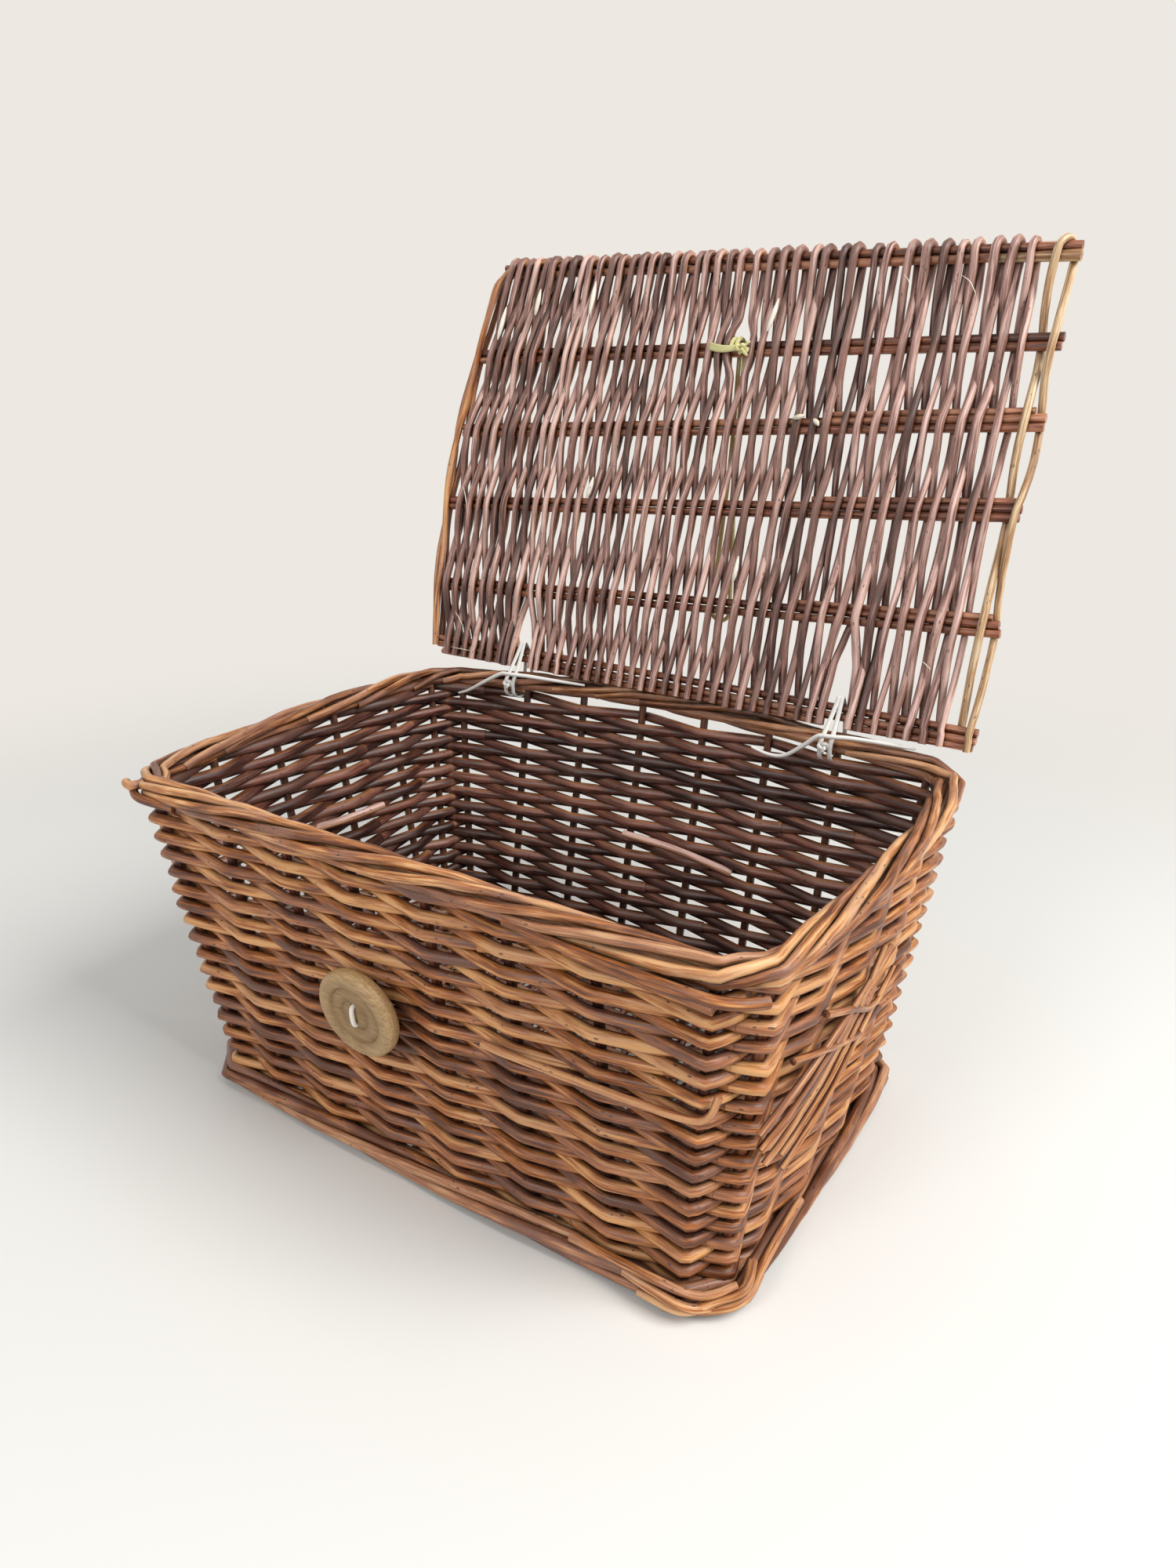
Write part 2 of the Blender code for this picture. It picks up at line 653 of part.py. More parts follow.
def lid_weave(hinge, slits, name, first, last, count):
    """One woven band of the lid: rods side by side, over and under the stick pairs in turn."""
    pitch = (last - first) / count
    rod_places = [first + pitch * (index + 0.5) for index in range(count)]
    rows = [first + HALF_GAP, *rod_places, last - HALF_GAP]
    vertices = []
    for face, sign in ((0, -1), (1, 1)):
        for row, x_at_back in enumerate(rows):
            stations = lid_stations(x_at_back)
            for station, rise in enumerate(stations):
                edge = row in (0, count + 1) or station in (0, len(stations) - 1)
                reach = LID_VALLEY if edge or (row + station + face) % 2 else LID_CREST
                vertices.append((weaver_x(x_at_back, rise), sign * reach, rise))
    faces = shell_faces(len(rows), len(LID_PAIRS) + 2)
    band = mesh_object("lid_weave_" + name, vertices, faces, "willow_lid", hinge)
    for x, slit in slits:
        if first <= x <= last:
            boolean(band, "DIFFERENCE", slit)
    for pair in LID_PAIRS:
        channel_name = "lid_channel_%s_%s" % (name, pair[0])
        channel = lid_stick_pair(channel_name, pair, FIT_GAP, CUT_OVERRUN, hinge, CUTTERS)
        boolean(band, "DIFFERENCE", channel)


def front_turn(first_x, second_x):
    """Points that carry a rod round the front stick pair, from the inner face to the outer one."""
    reach = (LID_STICK_RADIUS + FIT_GAP + LID_ROD_RADIUS) / cos(pi / (2 * LID_TURN_STEPS))
    points = []
    for step in range(LID_TURN_STEPS + 1):
        angle = pi / 2 - pi * step / LID_TURN_STEPS
        x = first_x + (second_x - first_x) * step / LID_TURN_STEPS
        rise = pair_rise(LID_PAIRS[-1], x) + PAIR_HALF_STEP + reach * cos(angle)
        points.append((x, -reach * sin(angle), rise))
    return points


def crossing(pair, x, side):
    """Two points of a rod that lies flat over both sticks of a pair."""
    rise = pair_rise(pair, x)
    reach = LID_STICK_RADIUS + FIT_GAP + LID_ROD_RADIUS
    step = PAIR_HALF_STEP + LID_ROD_RADIUS
    return [(x, -side * reach, rise - step), (x, -side * reach, rise + step)]


def lid_edge_rod(hinge):
    """The last rod at the lid's right end: up, round the front pair and down again."""
    first_x, second_x = LID_EDGE_PLACES
    up = []
    down = []
    for order, pair in enumerate(LID_PAIRS):
        side = 1 if (len(LID_PAIRS) - 1 - order) % 2 == 0 else -1
        up.extend(crossing(pair, first_x, side))
        down.extend(crossing(pair, second_x, -side))
    path = [*up[:-1], *front_turn(first_x, second_x), *reversed(down[:-1])]
    rod("lid_edge_rod", path, LID_ROD_RADIUS, "willow_lid", SIX_SIDES, hinge)


# Strap ties: a belt round the lid's back stick pair and the border rods under it

def hull(points):
    """Corners of the smallest convex outline round a set of flat points, anticlockwise."""
    ordered = sorted(set(points))

    def half(chain_points):
        chain = []
        for point in chain_points:
            while len(chain) > 1 and turn_of(chain[-2], chain[-1], point) <= 0:
                chain.pop()
            chain.append(point)
        return chain[:-1]

    return half(ordered) + half(ordered[::-1])


def turn_of(a, b, c):
    return (b[0] - a[0]) * (c[1] - a[1]) - (b[1] - a[1]) * (c[0] - a[0])


def back_border_y(x, z, offset):
    """Where a rod of the back border lies at place x and height z, between the two nearest stakes."""
    line = thinned(side_line("back", z, offset))
    for before, after in zip(line, line[1:]):
        if after.x <= x <= before.x:
            return before.y + (after.y - before.y) * (x - before.x) / (after.x - before.x)
    return line[0].y


def tie_circles(x):
    circles = [(LID_AXIS_Y, LID_AXIS_Z, PAIR_HALF_WIDTH)]
    circles.extend((back_border_y(x, z, offset), z, radius) for offset, z, radius in border_circles())
    return circles


def tie_belt(name, x, outlines, colour):
    """A flat strap bent into a ring: the inner and outer outlines at both edges of its width."""
    inner, outer = outlines
    rings = []
    for outline, edge_x in ((outer, x - TIE_WIDTH / 2), (outer, x + TIE_WIDTH / 2),
                            (inner, x + TIE_WIDTH / 2), (inner, x - TIE_WIDTH / 2)):
        rings.append([(edge_x, y, z) for y, z in outline])
    count = len(outer)
    vertices = [point for ring in rings for point in ring]
    faces = []
    for ring in range(4):
        start = ring * count
        other = (ring + 1) % 4 * count
        for step in range(count):
            after = (step + 1) % count
            faces.append((start + step, start + after, other + after, other + step))
    return mesh_object(name, vertices, faces, colour)


def offset_outline(circles, extra):
    """The belt outline at one distance from its circles, with the same corners for every distance."""
    corners = []
    centres = hull([(y, z) for y, z, radius in circles])
    for index, centre in enumerate(centres):
        before = Vector(centre) - Vector(centres[index - 1])
        after = Vector(centres[(index + 1) % len(centres)]) - Vector(centre)
        radius = next(circle[2] for circle in circles if (circle[0], circle[1]) == centre)
        first = atan2(-before.x, before.y)
        last = atan2(-after.x, after.y)
        turn = (last - first) % (2 * pi)
        count = int(STRAP_TURN_STEPS * turn / (2 * pi)) + 2
        reach = (radius + extra) / cos(turn / (2 * (count - 1)))
        for step in range(count):
            angle = first + turn * step / (count - 1)
            corners.append((centre[0] + reach * cos(angle), centre[1] + reach * sin(angle)))
    return corners


def tie_knot_place(outline):
    """Where the knot sits on the belt's inner run, with the direction out of the strap there."""
    runs = list(zip(outline, outline[1:] + outline[:1]))
    inner = [run for run in runs if (run[0][0] + run[1][0]) / 2 < LID_AXIS_Y]
    run = max(inner, key=lambda ends: hypot(ends[1][0] - ends[0][0], ends[1][1] - ends[0][1]))
    low, high = sorted(run, key=lambda end: end[1])
    along = (Vector(high) - Vector(low)).normalized()
    place_at = Vector(low).lerp(Vector(high), TIE_KNOT_RUN_SHARE)
    return place_at, Vector((-along.y, along.x))


def knot_mesh(name, size, colour):
    form = bmesh.new()
    bmesh.ops.create_uvsphere(form, u_segments=KNOT_SEGMENTS, v_segments=KNOT_RINGS, radius=1)
    bmesh.ops.scale(form, vec=size, verts=form.verts)
    mesh = bpy.data.meshes.new(name)
    form.to_mesh(mesh)
    form.free()
    mesh.shade_smooth()
    mesh.materials.append(finish_of(name, colour))
    return mesh


def smooth_route(points, step_count):
    """Places along one smooth curve through a cord's own points."""
    padded = [points[0] * 2 - points[1], *points, points[-1] * 2 - points[-2]]
    route = []
    for a, b, c, d in zip(padded, padded[1:], padded[2:], padded[3:]):
        for step in range(step_count):
            t = step / step_count
            place_at = b * 2 + (c - a) * t
            place_at = place_at + (a * 2 - b * 5 + c * 4 - d) * t ** 2
            place_at = place_at + (b * 3 - a - c * 3 + d) * t ** 3
            route.append(place_at / 2)
    route.append(points[-1])
    return route


def ties():
    for side, x in TIE_PLACES:
        circles = tie_circles(x)
        inner = offset_outline(circles, TIE_SLACK)
        outer = offset_outline(circles, TIE_SLACK + TIE_THICKNESS)
        belt = tie_belt("hinge_tie_" + side, x, (inner, outer), "strap_white")
        run_place, outward = tie_knot_place(outer)
        knot_centre = run_place + outward * TIE_KNOT_SIZE[1] * KNOT_SEAT_SHARE
        knot_form = knot_mesh("tie_knot_" + side, TIE_KNOT_SIZE, "strap_white")
        knot = place(bpy.data.objects.new("tie_knot_" + side, knot_form), None, CUTTERS)
        knot.location = (x, knot_centre.x, knot_centre.y)
        knot.rotation_euler = (atan2(-outward.y, -outward.x), 0, 0)
        boolean(belt, "UNION", knot)
        front = knot_centre + outward * (TIE_KNOT_SIZE[1] + FIT_GAP + TIE_TAIL_DIAMETER / 2)
        root = Vector((x, front.x, front.y))
        route = smooth_route([root + Vector(step) for step in TIE_TAIL_ROUTES[side]], 2)
        rod("hinge_tails_" + side, route, TIE_TAIL_DIAMETER / 2, "strap_white")


# Button and its stitch

def button_axis():
    """Empty at the button's back face, with +Z out of the front wall."""
    share = BUTTON_PLACE_Z / WEAVE_TOP
    base_y = -(BASE_HALF.y + FRONT_BOWS[0])
    rim_y = -(RIM_HALF.y + FRONT_BOWS[1])
    lean = atan2(base_y - rim_y, WEAVE_TOP)
    stand = WEAVE_CREST + BUTTON_STAND_OFF
    wall_y = base_y + (rim_y - base_y) * share
    location = (BUTTON_PLACE_X, wall_y - stand * cos(lean), BUTTON_PLACE_Z - stand * sin(lean))
    return axis_empty("button_axis", location, pi / 2 + lean)


def button_profile():
    radius = BUTTON_DIAMETER / 2
    top = BUTTON_THICKNESS
    dish = top - BUTTON_DISH_DEPTH
    lip = BUTTON_GROOVE_DEPTH
    return [
        (0, dish),
        (BUTTON_GROOVE_RADIUS - lip, dish),
        (BUTTON_GROOVE_RADIUS, dish - lip),
        (BUTTON_GROOVE_RADIUS + lip, dish),
        (BUTTON_DISH_RADIUS - lip, dish),
        (BUTTON_DISH_RADIUS, dish - lip),
        (BUTTON_DISH_RADIUS + lip, top - lip),
        (BUTTON_DISH_RADIUS + BUTTON_EDGE_ROUND, top),
        (radius - BUTTON_EDGE_ROUND, top - lip),
        (radius - BUTTON_EDGE_ROUND / 4, top - BUTTON_EDGE_ROUND),
        (radius, top / 2),
        (radius - BUTTON_EDGE_ROUND / 2, BUTTON_EDGE_ROUND / 2),
        (radius - BUTTON_EDGE_ROUND, 0),
        (0, 0),
    ]


def button():
    axis = button_axis()
    profile = [(x, 0, z) for x, z in button_profile()]
    mesh = bpy.data.meshes.new("button")
    mesh.from_pydata(profile, [(index, index + 1) for index in range(len(profile) - 1)], [])
    mesh.materials.append(finish_of("button", "button_wood"))
    disc = place(bpy.data.objects.new("button", mesh), axis)
    turned = disc.modifiers.new("turned", "SCREW")
    turned.steps = BUTTON_STEPS
    turned.render_steps = BUTTON_STEPS
    turned.use_merge_vertices = True
    turned.merge_threshold = AXIS_MERGE
    turned.use_normal_calculate = True
    form = bmesh.new()
    hole_radius = BUTTON_HOLE_DIAMETER / 2
    hole_depth = BUTTON_THICKNESS + CUT_OVERRUN
    for sign in (-1, 1):
        hole = bmesh.ops.create_cone(form, cap_ends=True, segments=BUTTON_HOLE_SIDES,
                                     radius1=hole_radius, radius2=hole_radius, depth=hole_depth)
        shift = Vector((0, sign * BUTTON_HOLE_SPACING / 2, BUTTON_THICKNESS / 2))
        bmesh.ops.translate(form, vec=shift, verts=hole["verts"])
    cutter_mesh = bpy.data.meshes.new("button_holes")
    form.to_mesh(cutter_mesh)
    form.free()
    cutter = place(bpy.data.objects.new("button_holes", cutter_mesh), axis, CUTTERS)
    cutter.hide_render = True
    cutter.display_type = "WIRE"
    drilled = disc.modifiers.new("drilled", "BOOLEAN")
    drilled.operation = "DIFFERENCE"
    drilled.solver = "EXACT"
    drilled.object = cutter
    stitch(axis)


def stitch(axis):
    """String through both holes, with its ends on the wall's weave."""
    radius = STITCH_DIAMETER / 2
    half = BUTTON_HOLE_SPACING / 2
    foot = -(BUTTON_STAND_OFF + STITCH_REACH)
    top = BUTTON_THICKNESS - BUTTON_DISH_DEPTH + radius + FIT_GAP
    bend = radius
    path = [
        (0, -half, foot), (0, -half, top - bend), (0, -half + bend, top),
        (0, half - bend, top), (0, half, top - bend), (0, half, foot),
    ]
    rod("button_stitch", path, radius, "strap_white", EIGHT_SIDES, axis)


# Closing loop, in the frame of its pivot: -Z hangs down, +Y points away from the lid's outer face

def closure_path():
    """Two legs hang from a turn over the stick pair, outside the lid, and meet in the eye."""
    wrap = PAIR_HALF_WIDTH + FIT_GAP + CLOSURE_CORD_DIAMETER / 2
    near = CLOSURE_CORD_DIAMETER / 2 + FIT_GAP
    eye_z = CLOSURE_REACH - CLOSURE_EYE_RADIUS
    turn = [pi * step / CLOSURE_TURN_STEPS for step in range(CLOSURE_TURN_STEPS + 1)]

    def leg(side):
        points = [(side * near, wrap * cos(angle), wrap * sin(angle)) for angle in reversed(turn)]
        for step in range(1, CLOSURE_LEG_STEPS + 1):
            drop = eye_z * step / CLOSURE_LEG_STEPS
            spread = max(0, drop - CLOSURE_STRAIGHT) / (eye_z - CLOSURE_STRAIGHT)
            x = near + (CLOSURE_EYE_RADIUS - near) * spread
            points.append((side * x, wrap * (1 - 2 * step / CLOSURE_LEG_STEPS), -drop))
        return points

    eye = []
    for angle in turn[1:-1]:
        eye.append((-CLOSURE_EYE_RADIUS * cos(angle), -wrap, -eye_z - CLOSURE_EYE_RADIUS * sin(angle)))
    return [*leg(-1), *eye, *reversed(leg(1))]


def closure(hinge):
    rise = pair_rise(LID_PAIRS[-2], CLOSURE_PLACE_X)
    pivot = axis_empty("closure_axis", (CLOSURE_PLACE_X, 0, rise), LID_LEAN, hinge)
    rod("closing_loop", closure_path(), CLOSURE_CORD_DIAMETER / 2, "raffia", EIGHT_SIDES, pivot)
    stand = PAIR_HALF_WIDTH + 2 * FIT_GAP + CLOSURE_CORD_DIAMETER + CLOSURE_KNOT_SIZE[1]
    knot_form = knot_mesh("closing_knot", CLOSURE_KNOT_SIZE, "raffia")
    knot = place(bpy.data.objects.new("closing_knot", knot_form), pivot)
    knot.location = (0, -stand, 0)


def build():
    clear_scene()
    base_weave()
    foot_wale()
    walls = {side: wall_weave(side) for side in SIDE_SPANS}
    tie_notches(walls["back"])
    stakes()
    rim_border()
    hinge = axis_empty("lid_hinge_axis", (0, LID_AXIS_Y, LID_AXIS_Z), -LID_LEAN)
    lid_sticks(hinge)
    slits = lid_slits(hinge)
    for band in LID_BANDS:
        lid_weave(hinge, slits, *band)
    lid_edge_rod(hinge)
    ties()
    button()
    closure(hinge)


build()
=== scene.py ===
# %% [markdown]
# # A lidded willow basket, woven rod by rod
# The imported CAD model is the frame: it says where every wall, border, lid stick and tie is and how it
# moves. Each cell builds one kind of piece in that frame, so that it shows in place of the plain CAD solid.
# %% Load the frame
import math
import random

import bmesh
import bpy
import numpy as np
from mathutils import Matrix, Vector


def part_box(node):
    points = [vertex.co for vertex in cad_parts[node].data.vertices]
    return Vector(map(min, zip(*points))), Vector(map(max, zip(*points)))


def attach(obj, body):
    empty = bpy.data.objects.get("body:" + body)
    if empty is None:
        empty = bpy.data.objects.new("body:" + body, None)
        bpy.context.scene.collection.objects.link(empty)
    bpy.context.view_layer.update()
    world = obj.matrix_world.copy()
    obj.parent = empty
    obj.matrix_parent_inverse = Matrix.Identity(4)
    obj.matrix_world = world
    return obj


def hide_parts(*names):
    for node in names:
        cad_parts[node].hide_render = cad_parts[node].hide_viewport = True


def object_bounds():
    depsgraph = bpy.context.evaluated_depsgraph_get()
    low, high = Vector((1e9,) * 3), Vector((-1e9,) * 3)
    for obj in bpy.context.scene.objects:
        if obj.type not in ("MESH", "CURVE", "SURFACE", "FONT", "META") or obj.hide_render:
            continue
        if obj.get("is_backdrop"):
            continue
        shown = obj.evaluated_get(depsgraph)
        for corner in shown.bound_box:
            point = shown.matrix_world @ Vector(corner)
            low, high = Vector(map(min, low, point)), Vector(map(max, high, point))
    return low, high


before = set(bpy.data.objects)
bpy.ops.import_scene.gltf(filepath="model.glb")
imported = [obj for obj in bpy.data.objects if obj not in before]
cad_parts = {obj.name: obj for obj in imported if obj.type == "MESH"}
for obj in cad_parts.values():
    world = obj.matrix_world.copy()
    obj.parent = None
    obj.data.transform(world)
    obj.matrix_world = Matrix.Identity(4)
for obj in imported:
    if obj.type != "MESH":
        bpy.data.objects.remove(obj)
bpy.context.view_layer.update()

# %% [markdown]
# Colours are written as the hex values a person would pick from a picture, and turned linear by one
# function. Node trees are long to write, so one small function adds a node, sets it up and links its
# inputs.
# %% Small helpers


def linear(hex_colour):
    """A picture's hex colour as the linear numbers that shader sockets take."""
    parts = [int(hex_colour[place:place + 2], 16) / 255 for place in (1, 3, 5)]
    return (*[part / 12.92 if part <= 0.04045 else ((part + 0.055) / 1.055) ** 2.4 for part in parts], 1.0)


def add(tree, kind, inputs=None, **settings):
    """Adds a node; each input is a value or another node's output."""
    made = tree.nodes.new(kind)
    for name, value in settings.items():
        setattr(made, name, value)
    for name, value in (inputs or {}).items():
        if isinstance(value, bpy.types.NodeSocket):
            tree.links.new(value, made.inputs[name])
        else:
            made.inputs[name].default_value = value
    return made


def maths(tree, operation, *values):
    made = tree.nodes.new("ShaderNodeMath")
    made.operation = operation
    for socket, value in zip(made.inputs, values):
        if isinstance(value, bpy.types.NodeSocket):
            tree.links.new(value, socket)
        else:
            socket.default_value = value
    return made.outputs[0]


def ranged(tree, value, low, high, to_low=0.0, **settings):
    """Takes a value between low and high to one between to_low and 1."""
    inputs = {"Value": value, "From Min": low, "From Max": high, "To Min": to_low}
    return add(tree, "ShaderNodeMapRange", inputs, **settings).outputs[0]


def mixed_colour(tree, factor, first, second):
    """Blends two colours, each a linear colour or another node's output."""
    return add(tree, "ShaderNodeMix", {"Factor": factor, 6: first, 7: second}, data_type="RGBA").outputs[2]


def plain(name, colour, roughness):
    """A material of one colour."""
    material = bpy.data.materials.new(name)
    material.use_nodes = True
    shader = material.node_tree.nodes["Principled BSDF"]
    shader.inputs["Base Color"].default_value = linear(colour)
    shader.inputs["Roughness"].default_value = roughness
    return material


def meshed(name, form):
    """Turns a bmesh form into a mesh, and frees the form."""
    mesh = bpy.data.meshes.new(name)
    form.to_mesh(mesh)
    form.free()
    return mesh


def put(name, data):
    """A new object, linked to the scene."""
    item = bpy.data.objects.new(name, data)
    bpy.context.scene.collection.objects.link(item)
    return item


# %% [markdown]
# Willow is a thin cane with its bark on. Its bark is golden or red-brown on the basket's outer side and
# purple-brown on the inner side; on the walls that darker inner side is partly the bark's own colour and
# partly painted shade for the inside of the basket. It is lighter where it has rubbed, with fine fibres along
# the rod and small dark scars where leaves grew, and darker in creases, partly dirt and partly painted shade.
# The fibres need coordinates that follow the rod, so every rod mesh carries three attributes: how far along it
# a point is, which way it faces round the rod, and a random tint for the whole rod.
# %% Willow material
RUBBED_BARK = "#A27A6C"
LEAF_SCAR = "#2C1610"


def willow(name, outside, inside, stain=0.35):
    """Bark: outside and inside are each (dark, middle, light) colours."""
    material = bpy.data.materials.new(name)
    material.use_nodes = True
    tree = material.node_tree
    shader = tree.nodes["Principled BSDF"]
    along = add(tree, "ShaderNodeAttribute", attribute_name="rod_along").outputs["Fac"]
    tint = add(tree, "ShaderNodeAttribute", attribute_name="rod_tint").outputs["Fac"]
    outer = add(tree, "ShaderNodeAttribute", attribute_name="rod_outer").outputs["Fac"]
    skin = add(tree, "ShaderNodeAttribute", attribute_name="rod_skin").outputs["Vector"]

    def rod_space(round_scale, along_scale):
        """Coordinates that stretch a pattern along the rod, different for every rod."""
        parts = add(tree, "ShaderNodeSeparateXYZ", {"Vector": skin})
        shift = maths(tree, "MULTIPLY", tint, 91.7)
        length = maths(tree, "ADD", maths(tree, "MULTIPLY", along, along_scale), shift)
        across = maths(tree, "MULTIPLY", parts.outputs["X"], round_scale)
        upward = maths(tree, "MULTIPLY", parts.outputs["Y"], round_scale)
        return add(tree, "ShaderNodeCombineXYZ", {"X": across, "Y": upward, "Z": length}).outputs[0]

    def noise(round_scale, along_scale, **inputs):
        place = rod_space(round_scale, along_scale)
        return add(tree, "ShaderNodeTexNoise", {"Vector": place, "Scale": 1.0, **inputs}).outputs["Fac"]

    fibre = noise(2.4, 45, Detail=5.0, Roughness=0.65)
    patch = noise(0.7, 22, Detail=3.0, Roughness=0.55)
    scar = add(tree, "ShaderNodeTexVoronoi", {"Vector": rod_space(1.1, 150), "Scale": 1.0,
                                              "Randomness": 1.0}).outputs["Distance"]
    some = noise(0.3, 30, Detail=1.0)
    tone = maths(tree, "ADD", maths(tree, "MULTIPLY", fibre, 1.5), maths(tree, "MULTIPLY", patch, 1.5))
    tone = maths(tree, "ADD", tone, maths(tree, "MULTIPLY", maths(tree, "SUBTRACT", tint, 0.5), 0.50))
    tone = maths(tree, "SUBTRACT", tone, 1.0)

    def bark(colours):
        ramp = add(tree, "ShaderNodeValToRGB", {"Fac": tone})
        ramp.color_ramp.elements[0].position = 0.22
        ramp.color_ramp.elements[1].position = 0.84
        ramp.color_ramp.elements.new(0.52)
        for element, colour in zip(ramp.color_ramp.elements, colours):
            element.color = linear(colour)
        return ramp.outputs["Color"]

    # Outer or inner colours by the way the surface faces; on the wall and base rods the darker inner colours
    # are partly painted shade for the inside of the basket.
    faced = mixed_colour(tree, outer, bark(inside), bark(outside))
    peeled = ranged(tree, some, 0.50, 0.62)
    whole = maths(tree, "GREATER_THAN", maths(tree, "FRACT", maths(tree, "MULTIPLY", tint, 7.3)), 0.80)
    rubbed = maths(tree, "MULTIPLY", maths(tree, "MAXIMUM", peeled, whole), stain)
    blush = mixed_colour(tree, rubbed, faced, linear(RUBBED_BARK))
    spots = maths(tree, "LESS_THAN", scar, 0.17)
    scarred = maths(tree, "MULTIPLY", spots, maths(tree, "GREATER_THAN", some, 0.56))
    dark = mixed_colour(tree, maths(tree, "MULTIPLY", scarred, 0.75), blush, linear(LEAF_SCAR))
    # Painted shade and dirt: ambient occlusion darkens the bark in creases and where rods cross, standing
    # partly for dirt in the joints and partly for the shade that falls there.
    crease = add(tree, "ShaderNodeAmbientOcclusion", {"Distance": 0.007}, samples=4).outputs["AO"]
    crease_dirt_and_painted_shade = ranged(tree, crease, 0.15, 0.80, to_low=0.28)
    dirty_and_shaded_bark = add(tree, "ShaderNodeVectorMath", {0: dark, "Scale": crease_dirt_and_painted_shade}, operation="SCALE")
    tree.links.new(dirty_and_shaded_bark.outputs[0], shader.inputs["Base Color"])
    rough = maths(tree, "ADD", maths(tree, "MULTIPLY", fibre, 0.25), 0.30)
    tree.links.new(rough, shader.inputs["Roughness"])
    shader.inputs["Coat Weight"].default_value = 0.24
    shader.inputs["Coat Roughness"].default_value = 0.30
    bump = add(tree, "ShaderNodeBump", {"Height": fibre, "Strength": 0.6, "Distance": 0.0008})
    tree.links.new(bump.outputs[0], shader.inputs["Normal"])
    return material


# PLUM, the inner side of the wall and base rods, is partly the bark's own purple-brown and partly painted
# shade: it is kept dark because the inside of the basket lies in shade.
GOLDEN = ("#572A0E", "#A86024", "#DEA468")
PLUM = ("#26110D", "#4B271F", "#865242")
WALL_WILLOW = willow("willow_bark_wall", GOLDEN, PLUM, 0.2)
BORDER_WILLOW = willow("willow_bark_border", ("#64320F", "#B06C34", "#E6B27C"),
                       ("#56301C", "#9C6238", "#D9A478"))
# The last number is how much rubbed bark shows. There is none on the stakes, the sticks and the pale rod.
STAKE_WILLOW = willow("willow_bark_stake", ("#3A1A10", "#5E2C18", "#8A4C2A"),
                      ("#331A12", "#54301F", "#7E4F34"), 0)
LID_WILLOW = willow("willow_bark_lid", GOLDEN, ("#4A2F28", "#9A7067", "#E6C2B8"))
STICK_WILLOW = willow("willow_bark_lid_stick", ("#5A2E1A", "#935333", "#C98B60"),
                      ("#51281A", "#96573B", "#CF9372"), 0)
PALE_WILLOW = willow("willow_bark_pale_edge", ("#8C6238", "#BC9060", "#E6CBA0"),
                     ("#7E5636", "#B68C62", "#E4CDA8"), 0)
# The wood under torn bark is the same cream on every side.
CREAM = ("#DCCFB2", "#EFE6D2", "#FAF5E9")
CREAM_WOOD = willow("bare_wood_under_bark", CREAM, CREAM, 0)
print("willow materials", [m.name for m in bpy.data.materials if m.name.startswith("willow")])

# %% [markdown]
# A woven basket is hundreds of rods that follow paths. Modelling each tube by hand would take weeks, so one
# Geometry Nodes tree sweeps a round profile along every guide line it is given. A guide is a row of points
# joined by edges, with a radius at each point. The tree smooths the guide, lets it wander a little as real
# canes do, sweeps the profile, and stores the attributes that the bark material reads.
# %% Rod tree


